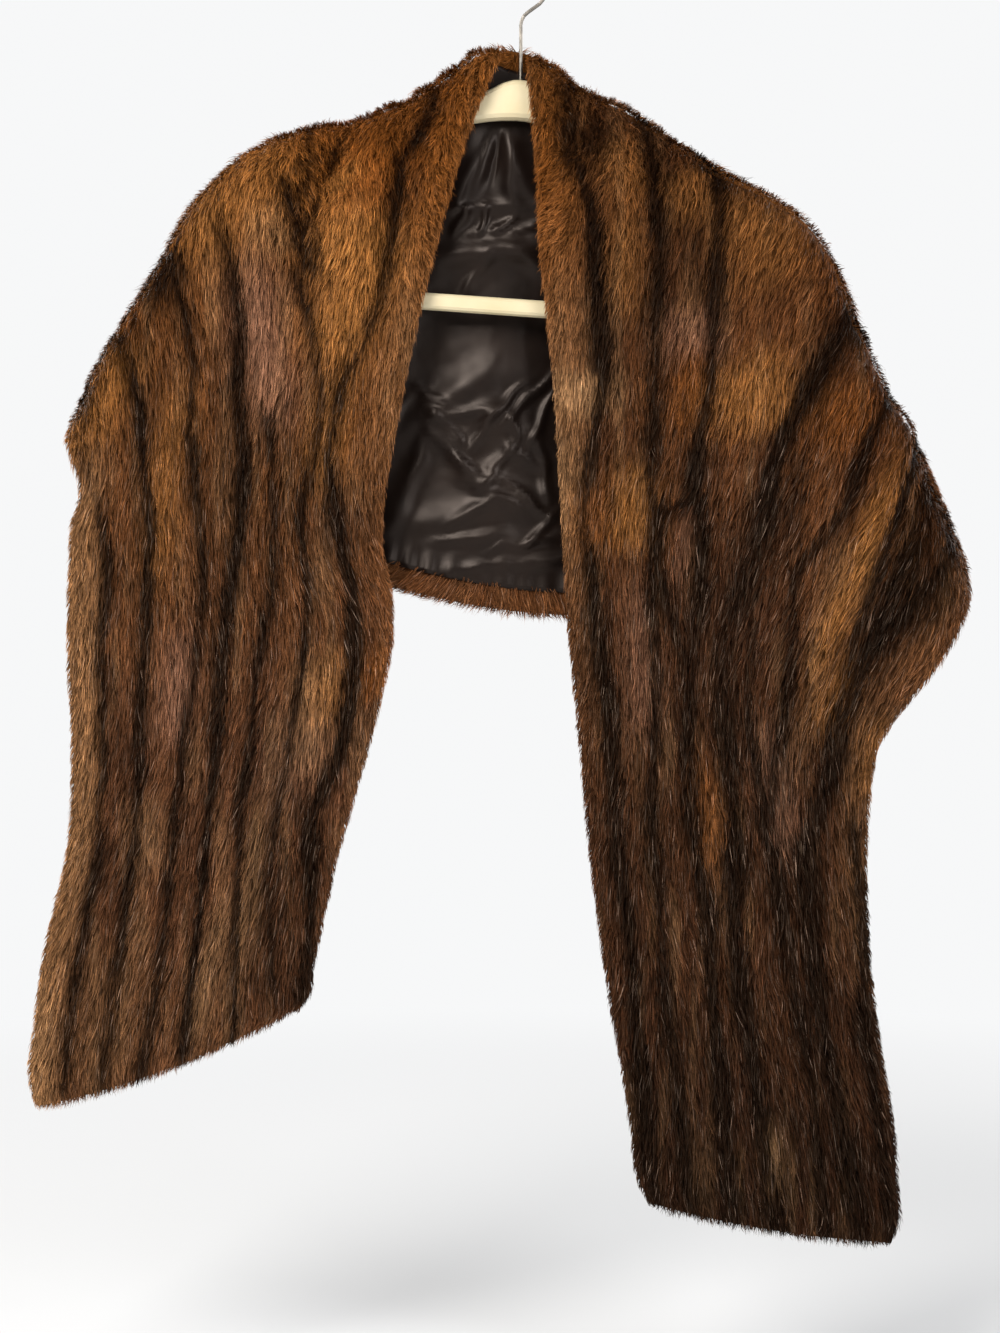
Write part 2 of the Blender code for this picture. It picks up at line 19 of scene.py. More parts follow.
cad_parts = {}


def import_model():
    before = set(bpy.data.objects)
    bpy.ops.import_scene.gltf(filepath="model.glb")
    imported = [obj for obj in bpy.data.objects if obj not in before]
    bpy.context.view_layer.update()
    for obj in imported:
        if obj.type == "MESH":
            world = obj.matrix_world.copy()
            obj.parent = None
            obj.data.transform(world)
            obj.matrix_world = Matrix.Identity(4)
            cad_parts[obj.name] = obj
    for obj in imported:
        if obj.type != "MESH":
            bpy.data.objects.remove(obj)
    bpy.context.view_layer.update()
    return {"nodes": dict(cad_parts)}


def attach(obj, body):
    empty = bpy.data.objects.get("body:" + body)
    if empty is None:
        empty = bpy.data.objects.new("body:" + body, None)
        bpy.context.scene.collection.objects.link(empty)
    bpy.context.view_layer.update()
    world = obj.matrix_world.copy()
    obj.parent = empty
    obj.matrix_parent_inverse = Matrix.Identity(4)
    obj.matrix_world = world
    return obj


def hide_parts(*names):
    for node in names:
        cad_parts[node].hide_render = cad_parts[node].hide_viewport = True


MM = 0.001

# Walls and the room between them
FUR_WALL = 14.0
LINING_WALL = 1.0
GAP = 0.3
HALF_FUR = FUR_WALL / 2
LINING_DEPTH = GAP + LINING_WALL / 2
LINING_MARGIN = 0.032

# The share of a front below the end of its lining
TIP_MARGIN = 0.02

# How round the corners of the two tips are
TIP_CORNER = 24.0

# The fur is pressed thinner where the weight hangs on the neck: by this share, here, and this far round
NECK_PRESS = 0.42
NECK_PLACE = (-2.0, -76.0)
NECK_REACH = 52.0

# At the neck the back is one arc from fold to fold, eased over this share of the way to the hem, by so many
# steps
NECK_SHARE = 0.2
RELAX_STEPS = 12

# The soft folds start this share of the way along a piece from a shoulder fold
FOLD_START = 0.15

# The longest share of a front that its fold may round off, at the neck
MOST_ARC = 0.2

# A front has settled a third of its way below the fold's arc, and the back half way, at its middle
FRONT_SETTLES = 3
BACK_SETTLES = 2

# The least that a sheet moves away from a shoulder fold over the step that its speed is read from
LEAST_MOVE = 0.1

# How finely the walls are cut into faces, and at which shares of their width
ARC_ROWS = 5
FRONT_ROWS = 24
BACK_ROWS = 34
COLUMNS = 13
SHARES = np.concatenate([[0], np.linspace(LINING_MARGIN, 1 - LINING_MARGIN, COLUMNS), [1]])

# How finely the skins and the linings are read
SKIN_ROWS = 110
BACK_SKIN_ROWS = 140
SKIN_COLUMNS = 44
SKIN_SHARES = np.linspace(0, 1, SKIN_COLUMNS + 1)
RIM_POINTS = 5
LINING_ROWS = 84
LINING_HIDDEN_ROWS = 36
LINING_COLUMNS = 110
FRONT_LINING_ROWS = 60
FRONT_LINING_COLUMNS = 50

# The share of the back's lining that a front hides on each side
LINING_SEEN = 0.36

# Where a front's skin ends above its rounded tip, and the angles of the rings that round it off
SKIN_END = 0.995
TIP_ANGLES = (32.0, 60.0, 82.0)

# The fold over each shoulder, as its outline from the front: from the neck to the elbow corner. depth is
# half the thickness of the fold there, from the hanger's plane out to the fur's middle.
Ridge = namedtuple("Ridge", "x z depth")
LEFT_RIDGE = (
    Ridge(-10, -71, 14.8),
    Ridge(-24, -69, 14.8),
    Ridge(-40, -77, 14.8),
    Ridge(-64, -96, 14.8),
    Ridge(-94, -112, 14.8),
    Ridge(-126, -126, 15.0),
    Ridge(-176, -134, 16.0),
    Ridge(-234, -162, 17.0),
    Ridge(-264, -194, 20.0),
    Ridge(-304, -260, 25.0),
    Ridge(-334, -308, 30.0),
    Ridge(-361, -365, 34.0),
    Ridge(-370, -386, 36.0),
)
RIGHT_RIDGE = (
    Ridge(7, -73, 14.8),
    Ridge(20, -78, 14.8),
    Ridge(34, -88, 14.8),
    Ridge(47, -100, 14.8),
    Ridge(64, -108, 14.8),
    Ridge(96, -124, 14.8),
    Ridge(128, -144, 15.0),
    Ridge(161, -165, 16.0),
    Ridge(178, -174, 16.5),
    Ridge(224, -201, 17.0),
    Ridge(266, -261, 22.0),
    Ridge(288, -325, 27.0),
    Ridge(328, -397, 33.0),
    Ridge(354, -461, 38.0),
    Ridge(365, -505, 41.0),
    Ridge(364, -523, 42.0),
)

# Sections across each front, from the shoulder fold down to the tip. ridge is how much of the fold's bend
# the section still has, sag how far its middle hangs below the straight line, and the depths are in front of
# the hanger's plane.
Section = namedtuple("Section", "inner_x inner_z outer_x outer_z ridge sag inner_depth outer_depth")
LEFT_SECTIONS = (
    Section(-10, -71, -370, -386, 1.00, 0, 15, 36),
    Section(-24, -101, -365, -401, 0.93, 0, 15, 37),
    Section(-39, -137, -357, -419, 0.80, 0, 15, 37),
    Section(-64, -221, -354, -441, 0.50, 0, 16, 37),
    Section(-90, -345, -358, -461, 0.20, 0, 18, 36),
    Section(-108, -461, -359, -489, 0.00, 0, 20, 35),
    Section(-98, -533, -361, -557, 0.00, 0, 21, 32),
    Section(-114, -617, -358, -625, 0.00, 0, 22, 30),
    Section(-142, -717, -362, -717, 0.00, 0, 23, 28),
    Section(-158, -789, -382, -805, 0.00, 4, 24, 27),
    Section(-168, -840, -395, -934, 0.00, 12, 24, 26),
)
RIGHT_SECTIONS = (
    Section(7, -73, 364, -523, 1.00, 0, 15, 42),
    Section(7, -90, 357, -539, 0.93, 0, 15, 42),
    Section(8, -109, 348, -555, 0.85, 0, 15, 42),
    Section(13, -133, 338, -570, 0.75, 0, 15, 42),
    Section(17, -229, 322, -590, 0.50, 0, 16, 41),
    Section(26, -341, 301, -614, 0.25, 0, 18, 39),
    Section(32, -453, 284, -638, 0.08, 0, 20, 37),
    Section(38, -549, 278, -677, 0.00, 0, 21, 35),
    Section(46, -633, 276, -725, 0.00, 0, 22, 33),
    Section(55, -733, 279, -797, 0.00, 0, 23, 31),
    Section(67, -821, 287, -865, 0.00, 0, 24, 29),
    Section(81, -905, 299, -937, 0.00, 4, 24, 28),
    Section(95, -1003, 304, -1036, 0.00, 7, 24, 27),
)

# Sections down the back, from the left shoulder fold to the right one. left and right are how much of each
# fold's bend the section still has.
BackSection = namedtuple("BackSection", "neck_x neck_z hem_x hem_z left right")
BACK_SECTIONS = (
    BackSection(-10, -71, -370, -386, 1.00, 0.00),
    BackSection(-8, -69, -328, -413, 0.80, 0.00),
    BackSection(-7, -68, -256, -446, 0.50, 0.00),
    BackSection(-5, -67, -176, -483, 0.22, 0.00),
    BackSection(-4, -67, -96, -511, 0.05, 0.00),
    BackSection(-2, -67, -2, -529, 0.00, 0.00),
    BackSection(-1, -68, 92, -533, 0.00, 0.05),
    BackSection(1, -69, 190, -538, 0.00, 0.22),
    BackSection(3, -70, 272, -539, 0.00, 0.50),
    BackSection(5, -71, 328, -532, 0.00, 0.80),
    BackSection(7, -73, 364, -523, 0.00, 1.00),
)

# How far behind the hanger's plane the middle of the back hangs, by its share of the way from neck to hem
BackDepth = namedtuple("BackDepth", "share depth")
BACK_DEPTHS = (
    BackDepth(0.00, 12.5),
    BackDepth(0.05, 15.0),
    BackDepth(0.20, 21.0),
    BackDepth(0.50, 29.0),
    BackDepth(0.80, 32.0),
    BackDepth(1.00, 29.0),
)

# Soft folds of the fur: the middle of each, its length and width, how far its top leans to the right, and its
# height outwards, less than zero for a dent.
Fold = namedtuple("Fold", "x z length width lean height")
LEFT_FOLDS = (
    Fold(-160, -200, 92, 14, 20, -4.5),
    Fold(-124, -203, 95, 19, 8, 7.0),
    Fold(-200, -197, 100, 22, 38, 6.5),
    Fold(-262, -300, 150, 22, -12, -3.0),
    Fold(-216, -430, 330, 20, 2, -3.5),
    Fold(-172, -560, 330, 22, 4, 3.5),
    Fold(-285, -600, 360, 24, 2, 3.0),
    Fold(-238, -760, 300, 18, -6, -3.0),
    Fold(-330, -800, 240, 18, 8, -2.5),
)
RIGHT_FOLDS = (
    Fold(277, -505, 190, 17, 14, 6.5),
    Fold(318, -490, 150, 20, 18, -6.0),
    Fold(128, -505, 70, 15, 10, -4.5),
    Fold(104, -380, 200, 17, 2, -3.5),
    Fold(62, -285, 260, 17, -2, 4.0),
    Fold(190, -330, 230, 28, 12, 4.0),
    Fold(228, -700, 330, 20, 4, 3.0),
    Fold(165, -770, 380, 18, -8, -3.0),
    Fold(110, -850, 300, 18, -10, 3.0),
)
BACK_FOLDS = (
    Fold(-215, -330, 220, 26, 38, 5.0),
    Fold(-150, -370, 230, 24, 24, -5.5),
    Fold(-85, -360, 250, 26, 12, 5.0),
    Fold(-20, -400, 210, 24, 2, -4.0),
    Fold(52, -370, 260, 26, -9, 5.5),
    Fold(128, -400, 250, 25, -20, -5.5),
    Fold(205, -390, 240, 28, -33, 5.0),
)

# Folds of the loose lining inside the back, as heights towards the front
LINING_FOLDS = (
    Fold(-22, -232, 120, 10, 84, 6.0),
    Fold(-44, -160, 70, 12, 10, 3.5),
    Fold(-4, -165, 70, 13, -6, 4.0),
    Fold(-60, -352, 110, 12, 55, 3.5),
    Fold(5, -378, 120, 12, -60, 4.0),
    Fold(-20, -440, 150, 10, 78, 3.0),
    Fold(-170, -330, 160, 16, 30, 3.5),
    Fold(150, -350, 170, 16, -30, 3.5),
)


def column(table, name):
    """One named column of a table."""
    return np.array([getattr(row, name) for row in table], float)


def read_curve(knots, values, at):
    """Smooth curves through the values at rising knots, read along their first axis at the places `at`."""
    slopes = np.gradient(values, knots, axis=0)
    at = np.clip(at, knots[0], knots[-1])
    low = np.clip(np.searchsorted(knots, at, side="right") - 1, 0, len(knots) - 2)
    shape = at.shape + (1,) * (values.ndim - 1)
    span = (knots[low + 1] - knots[low]).reshape(shape)
    t = (at - knots[low]).reshape(shape) / span
    return (
        values[low] * (1 + 2 * t) * (1 - t) ** 2
        + slopes[low] * span * t * (1 - t) ** 2
        + values[low + 1] * t**2 * (3 - 2 * t)
        - slopes[low + 1] * span * t**2 * (1 - t)
    )


def eased(t):
    """0 to 1 with a level start and end."""
    t = np.clip(t, 0, 1)
    return t * t * (3 - 2 * t)


def from_ends(share):
    """How far a share is from the nearer of 0 and 1."""
    return np.minimum(share, 1 - share)


def unit(vectors):
    """The vectors at a length of 1."""
    return vectors / np.linalg.norm(vectors, axis=-1, keepdims=True)


def lengths_along(x, z):
    """How far along its path each point lies, from 0 at the first."""
    return np.concatenate([[0], np.cumsum(np.hypot(np.diff(x), np.diff(z)))])


def patch_shape(patch, x, z):
    """How much of a soft fold or patch there is at each place, up to 1 at its middle."""
    lean = math.radians(patch.lean)
    right = x - patch.x
    up = z - patch.z
    along = right * math.sin(lean) + up * math.cos(lean)
    beside = right * math.cos(lean) - up * math.sin(lean)
    return np.exp(-((2 * along / patch.length) ** 4) - (beside / patch.width) ** 2)


def folded(folds, points):
    """The height of all the soft folds at each point."""
    return sum(fold.height * patch_shape(fold, points[..., 0], points[..., 2]) for fold in folds)


class ShoulderFold:
    """The curved line that a front and the back share, and how deep the fold is along it."""

    def __init__(self, rows):
        self.x = column(rows, "x")
        self.z = column(rows, "z")
        self.depths = column(rows, "depth")
        along = lengths_along(self.x, self.z)
        self.knots = along / along[-1]
        self.side = math.copysign(1, self.x[-1])

    def bend(self, across):
        """How far the fold's outline lies from the straight line between its ends."""
        x = read_curve(self.knots, self.x, across)
        z = read_curve(self.knots, self.z, across)
        x -= self.x[0] + (self.x[-1] - self.x[0]) * across
        z -= self.z[0] + (self.z[-1] - self.z[0]) * across
        return x, z

    def inwards(self, across):
        """The direction square to the fold's outline, down into the stole."""
        step = 0.01
        x = read_curve(self.knots, self.x, across + step) - read_curve(self.knots, self.x, across - step)
        z = read_curve(self.knots, self.z, across + step) - read_curve(self.knots, self.z, across - step)
        scale = self.side / np.hypot(x, z)
        return z * scale, -x * scale

    def depth(self, across):
        """How far the fur's middle lies from the hanger's plane."""
        return read_curve(self.knots, self.depths, across)


Surface = namedtuple("Surface", "points normals half")


class Sheet:
    """A wall of the stole as a surface over two shares: along it, and across it from inner to outer edge."""

    def read(self, name, along):
        """A column of the sheet's table at each share along it."""
        return read_curve(self.knots, self.table[name], along)

    def flat_place(self, along, across):
        """The x and z of a place on the sheet's middle surface, by its table's sections."""
        inner_x, inner_z, outer_x, outer_z, sag, bends = self.section(along)
        width = np.hypot(outer_x - inner_x, outer_z - inner_z)
        edge = (HALF_FUR + self.corner_inset(along)) / width
        share = edge + (1 - 2 * edge) * across
        x = inner_x + (outer_x - inner_x) * share
        z = inner_z + (outer_z - inner_z) * share - sag * 4 * share * (1 - share)
        for fold, weight in bends:
            bend_x, bend_z = fold.bend(share)
            x = x + weight * bend_x
            z = z + weight * bend_z
        return x, z

    def start_speed(self, fold, across, at_end=False):
        """Millimetres away from the line of a shoulder fold per unit of along, where the sheet leaves it."""
        step = 0.02
        first, second = (1.0, 1.0 - step) if at_end else (0.0, step)
        x0, z0 = self.flat_place(first + 0 * across, across)
        x1, z1 = self.flat_place(second + 0 * across, across)
        in_x, in_z = fold.inwards(across)
        return np.maximum((x1 - x0) * in_x + (z1 - z0) * in_z, LEAST_MOVE) / step

    def grid(self):
        """The middle surface, its outward normals and half its thickness, a line of points for each row."""
        points = self.place(*np.meshgrid(self.rows, SHARES, indexing="ij"))
        points = relaxed(points, self.neck_ease * (1 - eased(SHARES / NECK_SHARE)))
        heights = folded(self.folds, points) * eased(self.from_fold(self.rows) / FOLD_START)[:, None]
        points = points + self.normals(points) * heights[..., None]
        normals = unit(relaxed(self.normals(points), np.ones(len(SHARES))))
        return Surface(points, normals, half_thickness(points))

    def normals(self, points):
        """Unit normals that point away from the hanger, level on the shoulder folds."""
        along = np.gradient(points, self.rows, axis=0, edge_order=2)
        across = np.gradient(points, SHARES, axis=1, edge_order=1)
        normals = np.cross(along, across) * self.turn
        for row in self.fold_rows:
            normals[row, :, 1] = 0
        return unit(normals)


def half_thickness(points):
    """Half the fur's thickness at each point."""
    away = np.hypot(points[..., 0] - NECK_PLACE[0], points[..., 2] - NECK_PLACE[1])
    return HALF_FUR * (1 - NECK_PRESS * np.exp(-((away / NECK_REACH) ** 2)))


def relaxed(field, weights):
    """The field drawn towards the mean of its neighbours along the sheet, by a weight for each column."""
    field = field.copy()
    for _ in range(RELAX_STEPS):
        middle = (field[:-2] + field[2:]) / 2
        field[1:-1] += (middle - field[1:-1]) * weights[:, None] / 2
    return field


class Front(Sheet):
    """A front panel: along runs from the shoulder fold, 0, to the tip, 1."""

    has_tip = True
    fold_rows = (0,)
    neck_ease = 0.0
    rows = np.append(np.linspace(0, 1 - TIP_MARGIN, FRONT_ROWS), 1.0)
    skin_rows = np.linspace(0, SKIN_END, SKIN_ROWS + 1)
    lining_rows = np.linspace(0, 1 - TIP_MARGIN, FRONT_LINING_ROWS + 1)
    lining_columns = FRONT_LINING_COLUMNS

    def __init__(self, sections, fold, folds, turn):
        self.fold = fold
        self.folds = folds
        self.turn = turn
        self.table = {name: column(sections, name) for name in Section._fields}
        bend_x, bend_z = fold.bend(np.array(0.5))
        middle_x = (self.table["inner_x"] + self.table["outer_x"]) / 2 + self.table["ridge"] * bend_x
        middle_z = (self.table["inner_z"] + self.table["outer_z"]) / 2 + self.table["ridge"] * bend_z
        along = lengths_along(middle_x, middle_z)
        self.length = along[-1]
        self.knots = along / self.length

    def from_fold(self, rows):
        """How far each row is from the shoulder fold."""
        return rows

    def from_tip(self, rows):
        """How far each row is from the tip."""
        return 1 - rows

    def section(self, along):
        """Both edges at each place, how far the middle sags, and what is left of the shoulder fold's bend."""
        edges = [self.read(name, along) for name in ("inner_x", "inner_z", "outer_x", "outer_z")]
        return (*edges, self.read("sag", along), [(self.fold, self.read("ridge", along))])

    def corner_inset(self, along):
        """Rounds the two corners of the tip."""
        left = np.clip(1 - (1 - along) * self.length / TIP_CORNER, 0, 1)
        return TIP_CORNER * (1 - np.sqrt(1 - left**2))

    def place(self, row, across):
        """Points of the middle surface: an arc over the fold's depth, and below it the hanging panel."""
        depth = self.fold.depth(across)
        arc_reach = np.minimum(depth / self.start_speed(self.fold, across), MOST_ARC)
        arc_share = ARC_ROWS / FRONT_ROWS
        angle = np.pi / 2 * np.clip(row / arc_share, 0, 1)
        below_arc = np.clip((row - arc_share) / (1 - arc_share), 0, 1)
        end = 1 - HALF_FUR / self.length
        along = arc_reach * (1 - np.cos(angle)) + (end - arc_reach) * below_arc
        x, z = self.flat_place(along, across)
        settled = eased(below_arc * FRONT_SETTLES)
        in_x, in_z = self.fold.inwards(across)
        inset = HALF_FUR * (1 - settled)
        x = x + in_x * inset
        z = z + in_z * inset
        hanging = self.read("inner_depth", along)
        hanging = hanging + (self.read("outer_depth", along) - hanging) * across
        y = -np.sin(angle) * (depth + (hanging - depth) * settled)
        return np.stack([x, y, z], -1)


class Back(Sheet):
    """The back: along runs from the left shoulder fold, 0, to the right one, 1."""

    has_tip = False
    fold_rows = (0, -1)
    neck_ease = 1.0
    turn = 1
    rows = np.linspace(0, 1, BACK_ROWS + 1)
    skin_rows = np.linspace(0, 1, BACK_SKIN_ROWS + 1)
    hidden_rows = np.linspace(0, LINING_SEEN, LINING_HIDDEN_ROWS + 1)[:-1]
    seen_rows = np.linspace(LINING_SEEN, 1 - LINING_SEEN, LINING_ROWS + 1)
    lining_rows = np.concatenate([hidden_rows, seen_rows, 1 - hidden_rows[::-1]])
    lining_columns = LINING_COLUMNS

    def __init__(self, sections, left, right, folds):
        self.left = left
        self.right = right
        self.folds = folds
        self.table = {name: column(sections, name) for name in BackSection._fields}
        self.knots = np.linspace(0, 1, len(sections))

    def from_fold(self, rows):
        """How far each row is from the nearer shoulder fold."""
        return from_ends(rows)

    def from_tip(self, rows):
        """The back has no tip, so nothing is near one."""
        return 1 + 0 * rows

    def section(self, along):
        """Both edges at each place, no sag, and the bends that are left of the two shoulder folds."""
        edges = [self.read(name, along) for name in ("neck_x", "neck_z", "hem_x", "hem_z")]
        bends = [(self.left, self.read("left", along)), (self.right, self.read("right", along))]
        return (*edges, 0.0, bends)

    def corner_inset(self, along):
        """The back has no corners of its own."""
        return 0.0 * along

    def place(self, row, across):
        """Points of the middle surface: an arc over each fold's depth, and the hanging back between them."""
        from_left = row <= 0.5
        way_in = 2 * np.where(from_left, row, 1 - row)
        depth = np.where(from_left, self.left.depth(across), self.right.depth(across))
        left_speed = self.start_speed(self.left, across)
        right_speed = self.start_speed(self.right, across, at_end=True)
        arc_reach = np.minimum(depth / np.where(from_left, left_speed, right_speed), 0.5)
        arc_share = 1 - (1 - 2 * ARC_ROWS / BACK_ROWS) * eased(across / NECK_SHARE)
        angle = np.pi / 2 * np.clip(way_in / arc_share, 0, 1)
        past_arc = np.clip((way_in - arc_share) / np.maximum(1 - arc_share, 1e-6), 0, 1)
        along = arc_reach * (1 - np.cos(angle)) + (0.5 - arc_reach) * past_arc
        x, z = self.flat_place(np.where(from_left, along, 1 - along), across)
        for fold, near in ((self.left, row), (self.right, 1 - row)):
            in_x, in_z = fold.inwards(across)
            inset = HALF_FUR * (1 - eased(near * BACK_SETTLES))
            x = x + in_x * inset
            z = z + in_z * inset
        centre = read_curve(column(BACK_DEPTHS, "share"), column(BACK_DEPTHS, "depth"), across)
        y = np.sin(angle) * (depth + (centre - depth) * eased(way_in))
        return np.stack([x, y, z], -1)


def edge_directions(surface, rows, side):
    """The direction out of the sheet at each row of one of its edges, square to the edge."""
    points = surface.points
    along = np.gradient(points[:, side], rows, axis=0, edge_order=2)
    outwards = unit(np.cross(along, surface.normals[:, side]))
    across = points[:, side] - points[:, 1 if side == 0 else -2]
    return outwards * np.sign((outwards * across).sum(-1, keepdims=True))


# The skin that the hair grows from, as shares of half the wall: its outer face, inner face and edges
SKIN_OUTER = 0.28
SKIN_INNER = 0.95
SKIN_EDGE = 0.45

# How far the skin lies below the roots of the hair, and the lowest that its outer face goes
SKIN_SUNK = 3.4
LOWEST_SKIN = -7.2

# How much the fur's finer relief stands out, between which heights, and how deep a stripe dents it
RELIEF_SHARE = 1.6
RELIEF_RANGE = (-5.5, 8.5)
STRIPE_DENT = 1.3

# How the normals turn with the relief: read over this step, up to this slope, by this share of it
SLOPE_STEP = 1.5
STEEPEST = 1.3
NORMAL_SHARE = 0.45

# The kinds of hair: counts on a front and on the back, millimetres, how far each stretch stands up, in
# degrees, how much it sways and is drawn into tufts, how dark a stripe makes it, its painted shade at the
# root and painted light at the tip, and how much the strands differ
Hair = namedtuple("Hair", "on_front on_back length width lifts sway pull dark shades vary")
UNDERFUR = Hair(46000, 34000, 11.0, 0.9, (34, 14), 0.5, 0.35, 0.9, (0.25, 0.9), 0.26)
GUARD_HAIR = Hair(52000, 40000, 18.0, 0.5, (20, 5), 0.6, 0.4, 1.0, (0.4, 1.3), 0.44)

# Tufts: the strands in one, how far it draws them together, how its strands stand and turn, and its shade
TUFT_STRANDS = 9
TUFT_REACH = 7.0
TUFT_PULL = 1.6
TUFT_LIFTS = (0.7, 1.25)
TUFT_TURN = 4.0
TUFT_SHADE = 0.12

# How single strands differ: shares of their kind's length, width and lift, and degrees of turn, tilt and bend
LENGTHS = (0.75, 1.15)
WIDTHS = (0.75, 1.25)
LIFTS = (0.75, 1.25)
STRAND_TURN = 2.5
TILTS = (-65, 65)
BEND = 3.0
BEND_RANGE = (-6, 80)

# A strand's width before its pointed tip, as a share of its width at the root
LAST_WIDTH = 0.72

# How deep below its root a strand may dip into the skin
LEAST_DIP = 3.0
DIP_ROOM = 1.0

# What is left of a strand's length at an edge, at a tip and at a shoulder fold, and of its lift at a fold.
# Tousled fur keeps a share of its length at an edge.
EDGE_LENGTH = 0.62
TOUSLED_EDGE = 0.8
TIP_LENGTH = 0.5
FOLD_LENGTH = 0.6
FOLD_LIFT = 0.5

# How much a strand on an outline turns its face to the front
OUTLINE_TURN = 1.6

# How far from an edge, a tip or a shoulder fold a change is done, as shares of the sheet
RELIEF_FROM_EDGE = 0.03
RELIEF_FROM_FOLD = 0.025
LUMPS_FROM_FOLD = 0.05
TONE_FROM_EDGE = 0.12
TONE_FROM_FOLD = 0.05
LENGTH_FROM_EDGE = 0.06
LENGTH_FROM_TIP = 0.04
LENGTH_FROM_FOLD = 0.04
OUTLINE_FROM_EDGE = 0.05
OUTLINE_FROM_FOLD = 0.07
DOWN_FROM_FOLD = 0.1

# The lumps along the shoulder folds, as a share of those where the fur is tousled
FOLD_LUMPS = 0.35

# Places where the fur is short and tousled: the middle and how far it reaches, and a band on the inner edges
Fluff = namedtuple("Fluff", "x z reach")
FLUFF = (Fluff(-2, -76, 95), Fluff(-168, -176, 42), Fluff(100, -150, 44), Fluff(-70, -120, 50))
FLUFF_BAND = 0.09
FLUFF_BAND_SHARE = 0.8

# What tousled fur has more or less of, as shares of what there is elsewhere
Tousle = namedtuple("Tousle", "density length lift turn tuft_turn wander pull light")
TOUSLE = Tousle(1.2, -0.35, 0.9, 2.5, 1.5, 3, 1.2, -0.12)

# Changes with the height: where one starts, in millimetres under the hook, and over how much it is done
Change = namedtuple("Change", "start reach")
LOWER_TONES = Change(280, 420)
LOWEST_TONES = Change(760, 200)
# Below this the guard hairs carry painted glints
PAINTED_GLINTS_FROM = Change(180, 300)
VARIED_TONES = Change(250, 350)
HIGH_RIMS = Change(340, 160)
HIGH_BAND = Change(340, 120)

# Layers of smooth noise: how strong one is, the millimetres of a cell in x and z, and its shift in cells
Layer = namedtuple("Layer", "strength wide tall shift_x shift_z", defaults=(0, 0))
SWELLS = Layer(0.9, 24, 37)
RIPPLES = Layer(0.5, 11, 17)
LUMPS = Layer(2.6, 15, 14)
SMALL_LUMPS = Layer(0.6, 7, 6)
TONE_SHIFT_X = Layer(1.5, 60, 70)
TONE_SHIFT_Z = Layer(4, 50, 41, 9)
DEEP_PATCHES = Layer(0.36, 20, 90)
PALE_STREAKS = Layer(0.3, 8, 70)
FINE_STREAKS = Layer(0.22, 3.5, 24, 0, 5)
LONG_TURNS = Layer(1, 42, 60)
SHORT_TURNS = Layer(1, 17, 23, 3)
CREASE_BEND_X = Layer(3, 18, 15)
CREASE_BEND_Z = Layer(3, 14, 19, 5)
UNEVEN = Layer(0.25, 11, 13)
FINE_UNEVEN = Layer(0.12, 5, 6)


def srgb(red, green, blue):
    """A colour of everyday 0 to 255 values as linear light."""
    value = np.array([red, green, blue]) / 255
    return np.where(value <= 0.04045, value / 12.92, ((value + 0.055) / 1.055) ** 2.4)


# The tones of the fur
BROWN = srgb(125, 77, 44)
DEEP = srgb(70, 41, 25)
# The stripes' own dark tone, which also serves as painted shade in dents and creases
DARK = srgb(22, 9, 4)
TAN = srgb(160, 114, 74)
GOLD = srgb(182, 120, 60)
ORANGE = srgb(152, 86, 30)
ROSE = srgb(150, 106, 82)
PALE = srgb(196, 150, 104)
# A pale silver for the painted glints on guard hairs
PAINTED_GLINT_TONE = srgb(198, 168, 146)
# A golden tone for the upper rims, and for the painted light along the shoulder folds
HIGH_RIM_AND_FOLD_PAINTED_TONE = 0.6 * ORANGE + 0.3 * GOLD

# Finer relief of the fur than its solids have, in the same words as the folds
LEFT_RELIEF = (
    Fold(-136, -221, 72, 19, 5, 5.5),
    Fold(-158, -185, 92, 7, 24, -4.5),
    Fold(-188, -173, 80, 13, 50, 4.0),
    Fold(-176, -231, 72, 6, -15, -4.0),
    Fold(-168, -158, 40, 5, 60, -3.0),
    Fold(-148, -152, 38, 5, 50, -3.0),
    Fold(-143, -176, 44, 7, 48, 3.5),
    Fold(-196, -210, 44, 6, -30, -2.5),
    Fold(-224, -300, 230, 8, -4, -3.5),
    Fold(-204, -300, 190, 12, -6, 3.0),
    Fold(-103, -210, 160, 8, 8, -4.5),
    Fold(-76, -215, 260, 15, 10, 3.0),
    Fold(-150, -345, 120, 8, 20, -3.5),
    Fold(-298, -300, 130, 10, 24, -2.5),
    Fold(-316, -370, 110, 12, 20, 2.5),
    Fold(-172, -690, 90, 12, 10, -2.5),
)
RIGHT_RELIEF = (
    Fold(282, -475, 235, 9, 14, 5.5),
    Fold(307, -487, 190, 10, 16, -5.0),
    Fold(128, -435, 46, 7, 75, -4.0),
    Fold(134, -462, 50, 12, 8, 3.5),
    Fold(64, -277, 300, 8, -2, -4.0),
    Fold(34, -270, 280, 13, 0, 2.5),
    Fold(156, -249, 170, 9, 0, -3.5),
    Fold(106, -280, 180, 9, 0, -3.0),
    Fold(32, -349, 60, 20, 0, 4.0),
    Fold(224, -357, 150, 12, 32, -3.5),
    Fold(262, -370, 90, 16, 25, 3.0),
    Fold(186, -350, 100, 22, -10, 3.0),
    Fold(212, -640, 160, 10, -4, -2.5),
    Fold(150, -700, 170, 10, -3, 2.0),
)
BACK_RELIEF = (
    Fold(-230, -270, 130, 10, 46, -3.5),
    Fold(-120, -250, 150, 10, 24, -3.0),
    Fold(-60, -300, 190, 9, 10, -3.5),
    Fold(20, -330, 210, 10, -4, 3.0),
    Fold(70, -260, 150, 9, -16, -3.5),
    Fold(150, -300, 170, 10, -30, 3.0),
    Fold(180, -390, 160, 9, -28, -3.5),
    Fold(-180, -400, 130, 10, 34, 3.0),
    Fold(250, -440, 110, 9, -40, -3.0),
)

